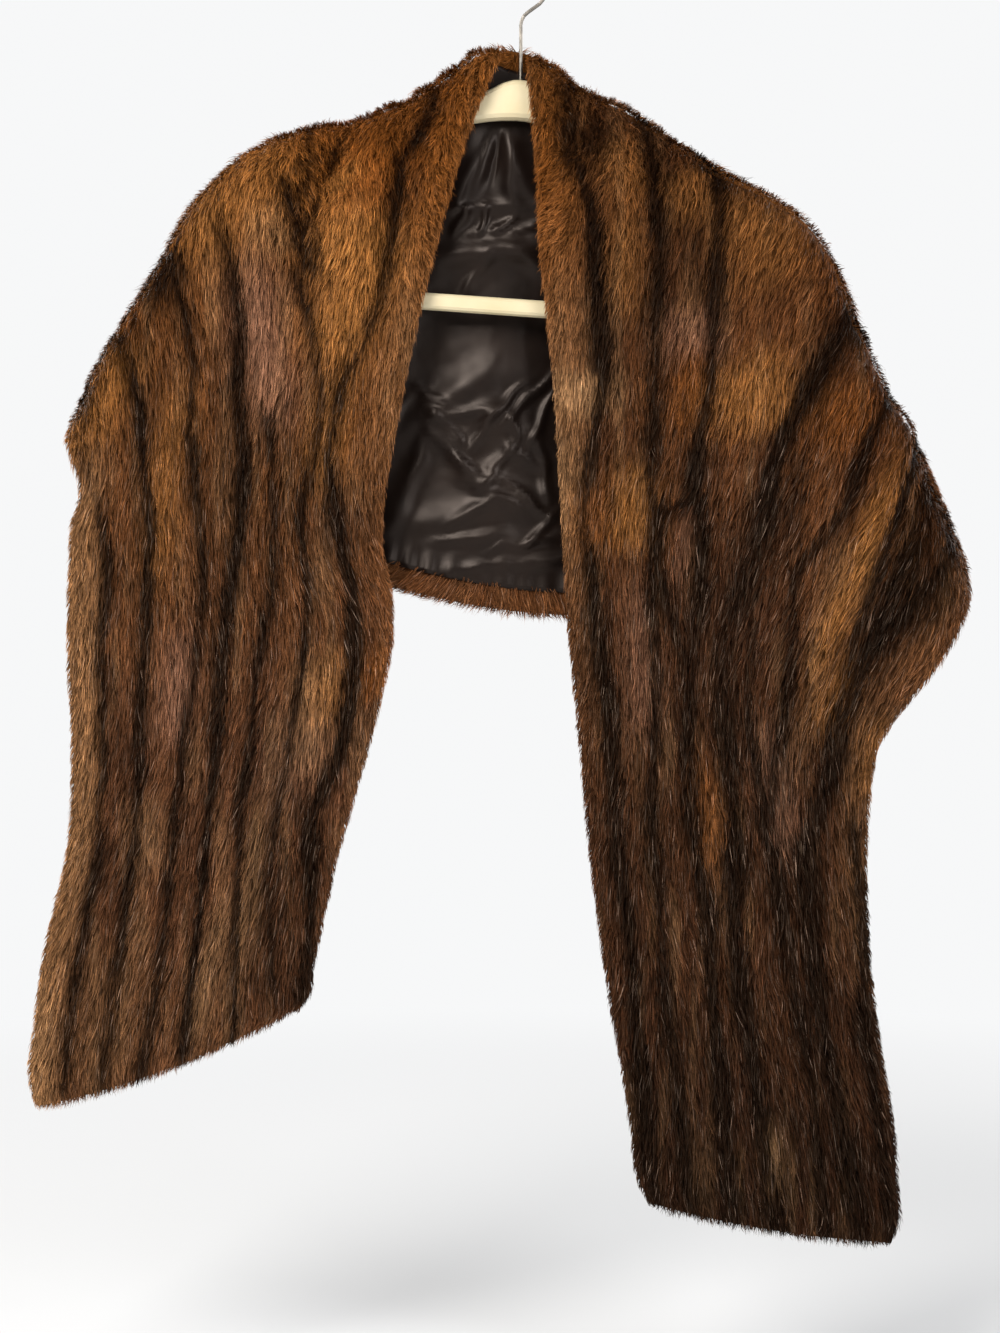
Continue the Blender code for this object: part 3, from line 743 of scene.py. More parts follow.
# The dark stripes of the pelts on the fronts: half the width, strength, and the route of the middle, x and z
Stripe = namedtuple("Stripe", "width strength route")
LEFT_STRIPES = (
    Stripe(9, 0.85, ((-347, -352), (-346, -392), (-334, -430), (-327, -480), (-328, -517), (-333, -549),
                     (-330, -581), (-331, -613), (-328, -645), (-334, -677), (-331, -709), (-338, -741),
                     (-344, -773), (-350, -805), (-355, -837), (-359, -869), (-365, -901))),
    Stripe(9, 0.8, ((-318, -309), (-308, -335), (-301, -357), (-299, -378), (-298, -405), (-292, -441),
                    (-296, -485), (-296, -517), (-297, -549), (-299, -581), (-300, -613), (-299, -645),
                    (-301, -677), (-304, -709), (-311, -741), (-314, -773), (-320, -805), (-324, -837),
                    (-329, -869), (-334, -901))),
    Stripe(8, 0.75, ((-280, -241), (-268, -277), (-258, -321), (-262, -376), (-254, -441), (-253, -514),
                     (-258, -569), (-266, -623), (-270, -669), (-276, -714), (-280, -769), (-289, -823),
                     (-298, -878), (-304, -909))),
    Stripe(9, 0.95, ((-238, -209), (-228, -238), (-222, -289), (-224, -339), (-218, -394), (-221, -441),
                     (-234, -514), (-236, -569), (-240, -623), (-248, -690), (-254, -769), (-262, -823),
                     (-267, -878))),
    Stripe(7, 0.8, ((-199, -366), (-196, -400), (-194, -441), (-200, -514), (-209, -569),
                    (-211, -623), (-222, -669), (-222, -714), (-224, -769), (-227, -823), (-229, -878))),
    Stripe(7, 0.8, ((-180, -245), (-166, -288), (-158, -339), (-160, -394), (-176, -441), (-171, -514),
                    (-172, -569), (-182, -623), (-189, -659), (-196, -714), (-198, -769), (-196, -823))),
    Stripe(6, 0.85, ((-174, -130), (-166, -141), (-170, -165), (-174, -183), (-160, -199), (-176, -218),
                     (-170, -239), (-160, -247))),
    Stripe(5, 0.65, ((-170, -239), (-150, -250), (-134, -245), (-118, -223), (-106, -191))),
    Stripe(9, 1.0, ((-66, -112), (-71, -129), (-93, -158), (-97, -194), (-104, -238), (-111, -266),
                    (-127, -310), (-142, -340), (-152, -394), (-148, -441), (-136, -503), (-133, -569),
                    (-142, -623), (-164, -677), (-167, -714), (-166, -769), (-174, -834))),
)
RIGHT_STRIPES = (
    Stripe(9, 0.95, ((36, -110), (42, -150), (57, -205), (61, -246), (66, -303), (68, -339), (60, -376),
                     (53, -412), (50, -449), (56, -487), (63, -542), (72, -596), (76, -650), (79, -723),
                     (87, -778), (92, -833), (96, -887), (100, -942), (112, -1015))),
    Stripe(9, 0.85, ((92, -118), (104, -150), (108, -179), (113, -230), (111, -266), (108, -310),
                     (108, -346), (106, -412), (108, -449), (106, -487), (106, -542), (108, -596),
                     (107, -650), (105, -687), (110, -760), (114, -833), (122, -887), (129, -942),
                     (140, -1025))),
    Stripe(11, 0.95, ((150, -165), (158, -169), (162, -205), (158, -249), (155, -303), (151, -346),
                      (144, -376), (140, -420), (145, -450), (147, -480), (147, -505), (140, -533),
                      (134, -565), (134, -640), (137, -690), (143, -730), (149, -760), (152, -833),
                      (158, -887), (162, -942), (173, -1030))),
    Stripe(7, 0.95, ((112, -436), (110, -470), (112, -490), (122, -528), (132, -560))),
    Stripe(7, 0.85, ((198, -449), (190, -500), (184, -550), (181, -590), (184, -620), (192, -660))),
    Stripe(6, 0.9, ((318, -378), (301, -441), (281, -496), (266, -541), (256, -581), (250, -625))),
    Stripe(12, 0.95, ((268, -285), (253, -310), (238, -332), (217, -369), (202, -412), (198, -449),
                      (183, -487), (172, -520), (162, -560), (162, -596), (169, -669), (172, -723),
                      (172, -778), (176, -833), (183, -869), (190, -923), (207, -1034))),
    Stripe(9, 0.85, ((312, -330), (297, -346), (282, -376), (271, -401), (264, -434), (220, -490),
                     (216, -549), (212, -596), (194, -687), (205, -742), (212, -796), (220, -833),
                     (230, -887), (234, -942), (246, -1038))),
    Stripe(13, 0.95, ((336, -420), (345, -470), (325, -498), (300, -530), (270, -563), (252, -614),
                      (245, -650), (223, -705), (227, -760), (234, -814), (242, -869), (252, -923),
                      (262, -965), (273, -1040))),
    Stripe(9, 0.95, ((262, -690), (268, -740), (274, -778), (270, -833), (278, -887), (285, -942),
                     (298, -1040))),
)

# On the back the stripes run round the neck, from fold to fold, at these shares of the way to the hem
BackStripe = namedtuple("BackStripe", "width strength shares")
BACK_STRIPES = (
    BackStripe(8, 0.7, (0.08, 0.09, 0.10, 0.09, 0.07)),
    BackStripe(10, 0.85, (0.19, 0.22, 0.225, 0.21, 0.20)),
    BackStripe(11, 0.9, (0.35, 0.345, 0.36, 0.345, 0.31)),
    BackStripe(12, 0.85, (0.54, 0.51, 0.50, 0.485, 0.44)),
    BackStripe(12, 0.95, (0.67, 0.655, 0.645, 0.62, 0.57)),
    BackStripe(11, 0.85, (0.82, 0.80, 0.785, 0.76, 0.71)),
    BackStripe(9, 0.9, (0.96, 0.935, 0.925, 0.915, 0.87)),
)

# Soft patches of another tone, among them dark ones that are painted shade in creases: the middle of each,
# its length and width, how far its top leans to the right, the tone, and how much of it there is
Patch = namedtuple("Patch", "x z length width lean tone amount")
LEFT_PATCHES = (
    Patch(-152, -157, 120, 60, 62, ORANGE, 0.75),
    Patch(-72, -125, 110, 32, 40, ORANGE, 0.55),
    Patch(-136, -226, 60, 34, 10, GOLD, 0.7),
    Patch(-141, -178, 42, 7, 48, GOLD, 0.6),
    Patch(-132, -266, 110, 26, 22, GOLD, 0.85),
    Patch(-206, -300, 150, 22, -8, ROSE, 0.75),
    Patch(-224, -190, 130, 38, 54, GOLD, 0.65),
    Patch(-282, -254, 56, 20, 28, DARK, 0.8),
    # The next four dark patches are painted shade in the creases where the fur bunches at the shoulder
    Patch(-178, -208, 84, 9, -22, DARK, 0.85),
    Patch(-160, -230, 50, 9, -6, DARK, 0.6),
    Patch(-172, -182, 28, 7, 30, DARK, 0.7),
    Patch(-168, -165, 40, 6, 62, DARK, 0.6),
    Patch(-196, -214, 40, 14, -25, PALE, 0.35),
    Patch(-328, -352, 92, 17, 27, GOLD, 0.6),
    Patch(-366, -388, 34, 16, 0, GOLD, 0.6),
    Patch(-280, -420, 150, 14, 8, GOLD, 0.4),
    Patch(-150, -360, 120, 16, 10, GOLD, 0.55),
    Patch(-272, -580, 90, 13, 4, ROSE, 0.7),
    Patch(-292, -700, 60, 12, 0, PALE, 0.25),
    Patch(-176, -634, 70, 26, 18, ROSE, 0.3),
    Patch(-172, -676, 50, 20, 0, DARK, 0.5),
    Patch(-196, -770, 200, 36, 2, DARK, 0.5),
    Patch(-232, -430, 130, 10, 4, DARK, 0.4),
    Patch(-190, -430, 120, 14, 4, DARK, 0.35),
    Patch(-166, -600, 90, 16, 6, PALE, 0.3),
    Patch(-330, -845, 120, 44, 8, TAN, 0.35),
    Patch(-250, -860, 90, 20, 8, TAN, 0.2),
    Patch(-152, -580, 60, 14, 14, GOLD, 0.35),
    Patch(-116, -570, 46, 14, 10, ORANGE, 0.45),
    Patch(-214, -742, 150, 9, 8, PALE, 0.3),
    Patch(-246, -800, 120, 9, 14, PALE, 0.3),
    Patch(-390, -880, 120, 16, 8, PALE, 0.35),
)
RIGHT_PATCHES = (
    Patch(60, -145, 40, 20, 10, DARK, 0.7),
    Patch(40, -148, 64, 16, -8, DARK, 0.8),
    Patch(146, -476, 80, 10, 4, DARK, 0.9),
    Patch(220, -430, 130, 16, 10, DARK, 0.55),
    Patch(140, -232, 100, 20, -4, DARK, 0.5),
    Patch(120, -185, 60, 10, 0, DARK, 0.5),
    Patch(140, -1000, 90, 70, -6, DARK, 0.4),
    Patch(262, -1000, 120, 30, -6, DARK, 0.5),
    Patch(170, -520, 160, 40, 6, DEEP, 0.6),
    Patch(84, -169, 50, 20, -25, GOLD, 0.35),
    Patch(136, -190, 40, 22, -20, GOLD, 0.4),
    Patch(20, -200, 160, 9, 2, ORANGE, 0.4),
    Patch(194, -222, 80, 38, -35, GOLD, 0.35),
    Patch(85, -240, 90, 15, 0, GOLD, 0.35),
    Patch(136, -300, 40, 24, -10, ROSE, 0.5),
    Patch(135, -345, 60, 13, 12, ORANGE, 0.45),
    Patch(188, -348, 60, 36, -20, GOLD, 0.6),
    Patch(260, -370, 66, 24, 25, ORANGE, 0.4),
    Patch(262, -296, 40, 24, -20, DARK, 0.7),
    Patch(44, -346, 34, 28, 0, PALE, 0.55),
    Patch(30, -420, 110, 14, -4, PALE, 0.4),
    Patch(90, -438, 66, 18, 10, GOLD, 0.6),
    Patch(52, -450, 60, 14, 0, ORANGE, 0.4),
    Patch(128, -436, 42, 10, 70, DARK, 0.9),
    Patch(132, -466, 70, 8, 8, ROSE, 0.3),
    # Golden tone along the crest, partly painted highlight on its ridge
    Patch(266, -492, 170, 11, 22, GOLD, 0.6),
    Patch(252, -590, 70, 15, 26, GOLD, 0.4),
    # These two dark patches are painted shade in the valley beside the crest
    Patch(300, -500, 150, 18, 24, DARK, 0.85),
    Patch(322, -512, 60, 20, 16, DARK, 0.7),
    Patch(346, -532, 90, 13, 42, BROWN, 0.6),
    Patch(320, -575, 70, 18, 52, BROWN, 0.5),
    Patch(150, -686, 90, 14, -6, ORANGE, 0.4),
    Patch(205, -670, 110, 13, -8, ROSE, 0.55),
    Patch(200, -955, 60, 8, -8, PALE, 0.35),
    Patch(95, -560, 120, 14, -4, ROSE, 0.4),
    Patch(235, -470, 130, 13, 14, BROWN, 0.4),
    Patch(278, -640, 60, 12, 8, GOLD, 0.3),
)
BACK_PATCHES = (
    Patch(-180, -210, 150, 42, 48, GOLD, 0.45),
    Patch(-60, -190, 120, 50, 20, ORANGE, 0.5),
    Patch(90, -210, 130, 44, -36, GOLD, 0.4),
    Patch(-270, -330, 110, 36, 30, GOLD, 0.45),
    Patch(-120, -330, 90, 40, 20, ROSE, 0.45),
    Patch(20, -330, 120, 36, -6, GOLD, 0.4),
    Patch(150, -350, 110, 40, -30, ORANGE, 0.4),
    Patch(250, -420, 110, 34, -25, ROSE, 0.4),
    Patch(-200, -420, 80, 30, 40, PALE, 0.3),
    Patch(-30, -450, 90, 40, 0, ROSE, 0.35),
    Patch(110, -470, 90, 36, -20, GOLD, 0.35),
    Patch(300, -480, 70, 30, -20, DARK, 0.4),
    Patch(-320, -390, 60, 26, 30, PALE, 0.35),
    Patch(10, -250, 60, 30, 0, DARK, 0.35),
)

# Finer creases of the back's lining, as heights towards the front, in the same words as the folds
CREASES = (
    Fold(-20, -156, 44, 3.4, 8, -1.6),
    Fold(-30, -160, 50, 5.0, 12, 2.2),
    Fold(-8, -165, 56, 6.0, -4, 2.4),
    Fold(8, -178, 60, 7.0, -30, 1.6),
    Fold(-44, -176, 50, 4.5, 20, 1.8),
    Fold(-22, -197, 100, 3.0, 88, 1.8),
    Fold(-46, -207, 26, 3.4, 30, 2.2),
    Fold(-30, -208, 24, 2.6, 15, 1.8),
    Fold(-12, -211, 26, 3.2, 62, 2.4),
    Fold(6, -214, 30, 3.0, 75, 2.0),
    Fold(-26, -216, 40, 3.6, 84, 1.4),
    Fold(10, -240, 60, 7.0, -60, 1.8),
    Fold(-34, -250, 50, 6.0, 30, 1.6),
    Fold(-6, -330, 60, 12.0, 80, 1.0),
    Fold(-68, -352, 44, 3.4, -62, 2.0),
    Fold(-44, -362, 60, 4.2, 78, 2.4),
    Fold(-58, -378, 50, 4.0, -40, 2.6),
    Fold(-30, -378, 40, 4.0, 20, 2.0),
    Fold(-14, -356, 60, 3.4, 52, 2.2),
    Fold(6, -352, 66, 3.0, 42, 2.4),
    Fold(18, -366, 60, 3.2, 22, 2.0),
    Fold(-6, -374, 30, 3.4, -30, 2.0),
    Fold(-56, -396, 56, 5.0, -38, 3.0),
    Fold(-40, -412, 44, 4.6, -60, 2.6),
    Fold(-18, -406, 50, 4.2, 40, 2.4),
    Fold(2, -398, 44, 5.0, -52, 2.2),
    Fold(20, -410, 60, 4.0, -8, 2.2),
    Fold(-24, -430, 60, 3.6, -64, 2.4),
    Fold(4, -432, 66, 3.6, -50, 2.6),
    Fold(-40, -446, 50, 4.4, 60, 1.8),
    Fold(-34, -466, 70, 4.0, 84, 2.2),
    Fold(6, -470, 70, 3.6, 80, 2.4),
    Fold(20, -456, 40, 3.4, 40, 2.0),
    Fold(-10, -486, 90, 3.4, 86, 1.8),
    Fold(30, -486, 50, 3.4, 78, 1.6),
    Fold(-90, -420, 90, 9.0, 24, 2.6),
    Fold(-118, -380, 80, 6.0, 42, 2.2),
    Fold(-140, -420, 90, 7.0, 30, 2.6),
    Fold(-180, -390, 70, 5.0, 50, 2.0),
    Fold(-210, -400, 90, 8.0, 56, 2.4),
    Fold(-250, -390, 60, 5.0, 60, 1.8),
    Fold(60, -400, 110, 7.0, -18, 2.6),
    Fold(90, -440, 80, 5.0, -30, 2.2),
    Fold(120, -400, 100, 8.0, -26, 2.4),
    Fold(160, -440, 90, 6.0, -44, 2.4),
    Fold(200, -430, 90, 7.0, -50, 2.2),
    Fold(240, -460, 70, 5.0, -62, 2.0),
    Fold(-90, -280, 90, 9.0, 40, 1.6),
    Fold(80, -290, 90, 9.0, -40, 1.6),
    Fold(-150, -270, 80, 8.0, 50, 1.4),
    Fold(140, -290, 80, 8.0, -50, 1.4),
)

# Long soft creases in the linings of the fronts, as heights away from the fur
LEFT_CREASES = (
    Fold(-300, -420, 190, 6.1, 10, 4.2),
    Fold(-230, -470, 240, 5.4, -6, 4.8),
    Fold(-180, -430, 150, 4.8, 14, 3.8),
    Fold(-330, -560, 170, 5.4, 4, 4),
    Fold(-262, -640, 260, 6.1, 8, 4.8),
    Fold(-200, -650, 170, 5.4, 14, 3.8),
    Fold(-300, -760, 190, 6.1, 16, 4.2),
    Fold(-240, -800, 150, 4.8, -12, 3.5),
    Fold(-340, -830, 120, 5.4, 8, 3.8),
    Fold(-140, -300, 160, 6.1, 20, 2.2),
    Fold(-250, -330, 110, 5.4, 40, 2),
)
RIGHT_CREASES = (
    Fold(90, -300, 200, 6.1, -4, 2.2),
    Fold(150, -380, 220, 5.4, 8, 4.8),
    Fold(230, -430, 180, 6.1, 24, 4.2),
    Fold(90, -520, 190, 5.4, -10, 4.2),
    Fold(180, -590, 240, 6.1, 4, 4.8),
    Fold(130, -700, 220, 5.4, -8, 4),
    Fold(220, -740, 200, 6.1, 6, 4.5),
    Fold(160, -850, 230, 6.1, -10, 4.2),
    Fold(240, -900, 170, 5.4, -4, 3.8),
    Fold(190, -960, 110, 4.8, 10, 3.4),
    Fold(280, -540, 120, 6.1, 34, 3.8),
)

# How much the fine creases of the lining stand out
CREASE_SHARE = 1.5

# The puckers along the lining's hem: their count, height and reach, how far they drift and vary, and the
# cells of noise from fold to fold for each
PUCKERS = 58
PUCKER_HEIGHT = 1.3
PUCKER_REACH = 0.035
PUCKER_DRIFT = 1.3
PUCKER_DRIFT_CELLS = 31
PUCKER_VARIES = 0.5
PUCKER_VARY_CELLS = 23

# The hanger's arms: the height of their middle, how steeply they fall, and how much the hanger leans
ARM_TOP = -110.0
ARM_SLOPE = 0.42
ARM_LEAN = 0.07

# The creases fade out near the shoulder folds, and near the arms, which the lining lies on
CREASES_FROM_FOLD = 0.1
ARM_CLEAR = 12
ARM_FADE = 16
LOWEST_CREASE = -0.4

# A satin shell's half thickness, as a share of its solid's wall
SATIN_SHARE = 0.4

# Smooth noise repeats after this many cells
NOISE_CELLS = (61, 67)


class Noise:
    """Smooth seeded noise over the plane, from -1 to 1, that repeats after many cells."""

    def __init__(self, seed):
        self.values = np.random.default_rng(seed).uniform(-1, 1, NOISE_CELLS)

    def __call__(self, x, y):
        i, j = np.floor(x).astype(int), np.floor(y).astype(int)
        s, t = eased(x - i), eased(y - j)
        near, far = ((self.at(row, j) * (1 - t) + self.at(row, j + 1) * t) for row in (i, i + 1))
        return near * (1 - s) + far * s

    def at(self, i, j):
        """The value at a corner of a cell."""
        tall, wide = NOISE_CELLS
        return self.values[i % tall, j % wide]


LUMP_NOISE = Noise(9)


def layer(noise, kind, x, z):
    """One layer of noise at each place."""
    return kind.strength * noise(x / kind.wide + kind.shift_x, z / kind.tall + kind.shift_z)


def below(change, z):
    """0 above the place where a change starts, and 1 where it is done."""
    return eased((-z - change.start) / change.reach)


def above(change, z):
    """0 below the place where a change starts, and 1 where it is done, higher up."""
    return eased((change.start + z) / change.reach)


def fine_surface(sheet, fine_rows, fine_shares):
    """The sheet's surface, worked out as for its solid and then read finely."""
    found = []
    for field in sheet.grid():
        field = read_curve(sheet.rows, field, fine_rows)
        found.append(read_curve(SHARES, field.swapaxes(0, 1), fine_shares).swapaxes(0, 1))
    points, normals, half = found
    return Surface(points, unit(normals), half)


# A skin as rings of points, with the direction along the sheet, the one across it and its two shares
Skin = namedtuple("Skin", "points normals along across row share")


def listed(skin):
    """The skin's rings joined into one line of points."""
    return Skin(*(field.reshape(-1, *field.shape[2:]) for field in skin))


def plain_face(surface):
    """The outer face of the skin without its finer relief."""
    return surface.points + (SKIN_OUTER * surface.half)[..., None] * surface.normals


def raised_face(coat, surface):
    """The outer face of the skin with its finer relief, a little below the roots of the hair."""
    points, normals, half = surface
    rows = coat.sheet.skin_rows[:, None] * np.ones(half.shape)
    shares = SKIN_SHARES * np.ones(half.shape)
    blank = np.zeros(points.shape)
    places = listed((points, blank, blank, blank, rows, shares))
    fold = coat.off_fold(places)
    heights = (coat.heights(places, fold) - SKIN_SUNK * fold * coat.off_edges(places)).reshape(half.shape)
    return points + (SKIN_OUTER * half + np.maximum(heights, LOWEST_SKIN))[..., None] * normals


def skin_rim(surface, side, outwards, start):
    """Points and normals round one edge of a skin, from the angle `start` on."""
    normals = surface.normals[:, side]
    placed, facing = [], []
    for angle in start + np.linspace(0, np.pi, RIM_POINTS + 2)[1:-1]:
        up = math.cos(angle)
        out = abs(math.sin(angle))
        thick = SKIN_OUTER if up > 0 else SKIN_INNER
        offset = up * thick * normals + out * SKIN_EDGE * outwards
        placed.append(surface.points[:, side] + offset * surface.half[:, side, None])
        facing.append(unit(up * normals + out * outwards))
    return np.stack(placed, 1), np.stack(facing, 1)


def skin_rings(coat, relief):
    """Rings round the thin skin inside a fur wall: outer face, outer edge, inner face, inner edge."""
    sheet = coat.sheet
    rows = sheet.skin_rows
    surface = fine_surface(sheet, rows, SKIN_SHARES)
    points, normals, half = surface
    outer = raised_face(coat, surface) if relief else plain_face(surface)
    along = unit(np.gradient(points, axis=0))
    across = unit(np.gradient(points, axis=1))
    first = edge_directions(surface, rows, 0)
    last = edge_directions(surface, rows, -1)
    last_points, last_normals = skin_rim(surface, -1, last, 0)
    first_points, first_normals = skin_rim(surface, 0, first, np.pi)
    width = SKIN_SHARES * np.ones(half.shape)
    height = rows[:, None] * np.ones(half.shape)
    end = np.ones((len(rows), RIM_POINTS))

    def ring(outer, rim_last, inner, rim_first):
        """The four parts of each ring, one after the other."""
        return np.concatenate([outer, rim_last, inner[:, ::-1], rim_first], axis=1)

    def repeated(line):
        """The same at every point of a rim."""
        return np.repeat(line[:, None], RIM_POINTS, 1)

    skin = Skin(
        ring(outer, last_points, points - SKIN_INNER * half[..., None] * normals, first_points),
        ring(normals, last_normals, -normals, first_normals),
        ring(along, repeated(along[:, -1]), along, repeated(along[:, 0])),
        ring(across, repeated(last), across, repeated(-first)),
        ring(height, end * rows[:, None], height, end * rows[:, None]),
        ring(width, end, width, 0 * end),
    )
    if sheet.has_tip:
        skin = tipped(skin, points)
    for row in sheet.fold_rows:
        skin.points[row, :, 1] = 0
    return skin


def tipped(skin, points):
    """The skin with rings added that round off its tip."""

    def round_ring(line):
        """The middle of the sheet's end at each point of the last ring."""
        rim_last = np.repeat(line[-1:], RIM_POINTS, 0)
        rim_first = np.repeat(line[:1], RIM_POINTS, 0)
        return np.concatenate([line, rim_last, line[::-1], rim_first])

    onwards = round_ring(unit(points[-1] - points[-2]))
    middle = round_ring(points[-1])
    rings = {name: [getattr(skin, name)] for name in Skin._fields}
    for angle in TIP_ANGLES:
        turned = math.radians(angle)
        rise = onwards * SKIN_EDGE * HALF_FUR * math.sin(turned)
        last = {name: getattr(skin, name)[-1] for name in Skin._fields}
        last["points"] = middle + (skin.points[-1] - middle) * math.cos(turned) + rise
        last["normals"] = unit(skin.normals[-1] * math.cos(turned) + onwards * math.sin(turned))
        for name in Skin._fields:
            rings[name].append(last[name][None])
    return Skin(*(np.concatenate(rings[name]) for name in Skin._fields))


def read_quads(field, i, j, s, t):
    """A field of the skin read inside its quads: quad i, j at the shares s along and t round."""
    over = (j + 1) % field.shape[1]
    if field.ndim == 3:
        s, t = s[:, None], t[:, None]
    low = field[i, j] * (1 - t) + field[i, over] * t
    high = field[i + 1, j] * (1 - t) + field[i + 1, over] * t
    return low * (1 - s) + high * s


def grown_on(skin, has_tip):
    """The quads of the skin that hair grows on: all that no lining covers."""
    place = np.arange(skin.points.shape[1])
    inner_start = SKIN_COLUMNS + 1 + RIM_POINTS
    outer = place < SKIN_COLUMNS
    inner = (place >= inner_start) & (place < inner_start + SKIN_COLUMNS)
    margin = (skin.share[:-1] < LINING_MARGIN) | (skin.share[:-1] > 1 - LINING_MARGIN)
    if has_tip:
        margin |= skin.row[:-1] > 1 - TIP_MARGIN
    return outer[None, :] | ~inner[None, :] | margin


def take_roots(skin, allowed, count, rng):
    """Roots of hair spread evenly over the allowed quads, and more densely where the fur is tousled."""
    points = skin.points
    over = np.roll(points, -1, axis=1)
    areas = np.linalg.norm(np.cross(over[1:] - points[:-1], points[1:] - over[:-1]), axis=-1) / 2
    plush = fluffy(listed(Skin(*(field[:-1] for field in skin)))).reshape(areas.shape)
    chances = np.cumsum((areas * allowed * (1 + TOUSLE.density * plush)).ravel())
    chosen = np.searchsorted(chances, rng.uniform(0, chances[-1], count))
    i, j = np.divmod(np.minimum(chosen, chances.size - 1), points.shape[1])
    s, t = rng.random(count), rng.random(count)
    roots = Skin(*(read_quads(field, i, j, s, t) for field in skin))
    return roots._replace(normals=unit(roots.normals), along=unit(roots.along), across=unit(roots.across))


def fluffy(roots):
    """How short and tousled the fur is: most at the neck and down the upper inner edges."""
    x, z = roots.points[:, 0], roots.points[:, 2]
    spots = sum(np.exp(-(((x - spot.x) ** 2 + (z - spot.z) ** 2) / spot.reach**2)) for spot in FLUFF)
    band = np.exp(-((roots.share / FLUFF_BAND) ** 2)) * above(HIGH_BAND, z)
    return np.clip(spots + FLUFF_BAND_SHARE * band, 0, 1)


def route_distance(route, x, z):
    """How far each place is from a route of straight stretches."""
    nearest = np.full(x.shape, 1e9)
    for (x0, z0), (x1, z1) in zip(route, route[1:]):
        run = np.array([x1 - x0, z1 - z0], float)
        t = np.clip(((x - x0) * run[0] + (z - z0) * run[1]) / (run @ run), 0, 1)
        nearest = np.minimum(nearest, np.hypot(x - x0 - t * run[0], z - z0 - t * run[1]))
    return nearest


def mixed(colours, other, share):
    """The colours drawn towards another one, by a share for each."""
    return colours + (other - colours) * np.clip(np.reshape(share, (-1, 1)), 0, 1)


# How much of the darker and the paler brown there is on the whole
DEEP_SHARE = 0.32
PALE_SHARE = -0.02

# The soft shade round a stripe: its tone, how much of it, and how many times wider than the stripe it is
SHADE_TONE = 0.7 * DEEP
SHADE_SHARE = 0.6
SHADE_SPREAD = 2.3

# How sharp a front's stripes are, how their strength and width vary, and how far apart the variations are
SHARPNESS = 2.4
STRIPE_STRENGTH = 0.98
STRIPE_BREAKS = Layer(0.2, 34, 60)
STRIPE_WAVES = Layer(0.35, 45, 1)
BREAK_SHIFT = 7
WAVE_SHIFT = 3

# The same on the back, where a stripe wanders: millimetres from neck to hem, and cells from fold to fold
BACK_WIDTH = 440.0
BACK_WANDER = 5
BACK_WANDER_CELLS = 26
BACK_STRENGTH = 0.85
BACK_BREAKS = 0.35
BACK_BREAK_CELLS = (30, 8)

# How quickly the rim's tone is full, and how much of a stripe the rim, a patch and the painted light along a
# shoulder fold take away
RIM_GAIN = 1.3
RIM_CLEARS = 0.8
PATCH_CLEARS = 0.45
FOLD_PAINTED_LIGHT_CLEARS = 0.85

# How much of the rim's tone the back's edges have
BACK_RIM = 0.7

# Painted light along a shoulder fold, for the light that shows through the hair on the outline: how much of
# its tone there is, and how much lighter it is
FOLD_PAINTED_TONE_SHARE = 0.5
FOLD_PAINTED_LIGHT = 0.55

# Painted shade in dents and painted light on ridges: the large folds' share in it, the deepest that counts,
# and how much
LARGE_FOLDS = 0.4
DEEPEST = 5
DENT_PAINTED_SHADE = 0.7
RIDGE_PAINTED_LIGHT = 0.03

# The degrees that the hair on a front and on the back wanders, in long and in short turns
FRONT_WANDER = (7, 3)
BACK_HAIR_WANDER = (14, 8)

# The degrees that a front's hair turns outwards at its edges
EDGE_TURN = 14

# The back's hair parts at its centre, over this share of the way between the folds. Away from there it still
# runs down this much, and on a fold outwards this much.
PARTING = 0.12
LEAST_DOWN = 0.3
LEAST_OUT = 0.15

# An edge's tone down a front: how much, where it changes, over how much of the way, and if it fades out
Rim = namedtuple("Rim", "amount start reach fades")


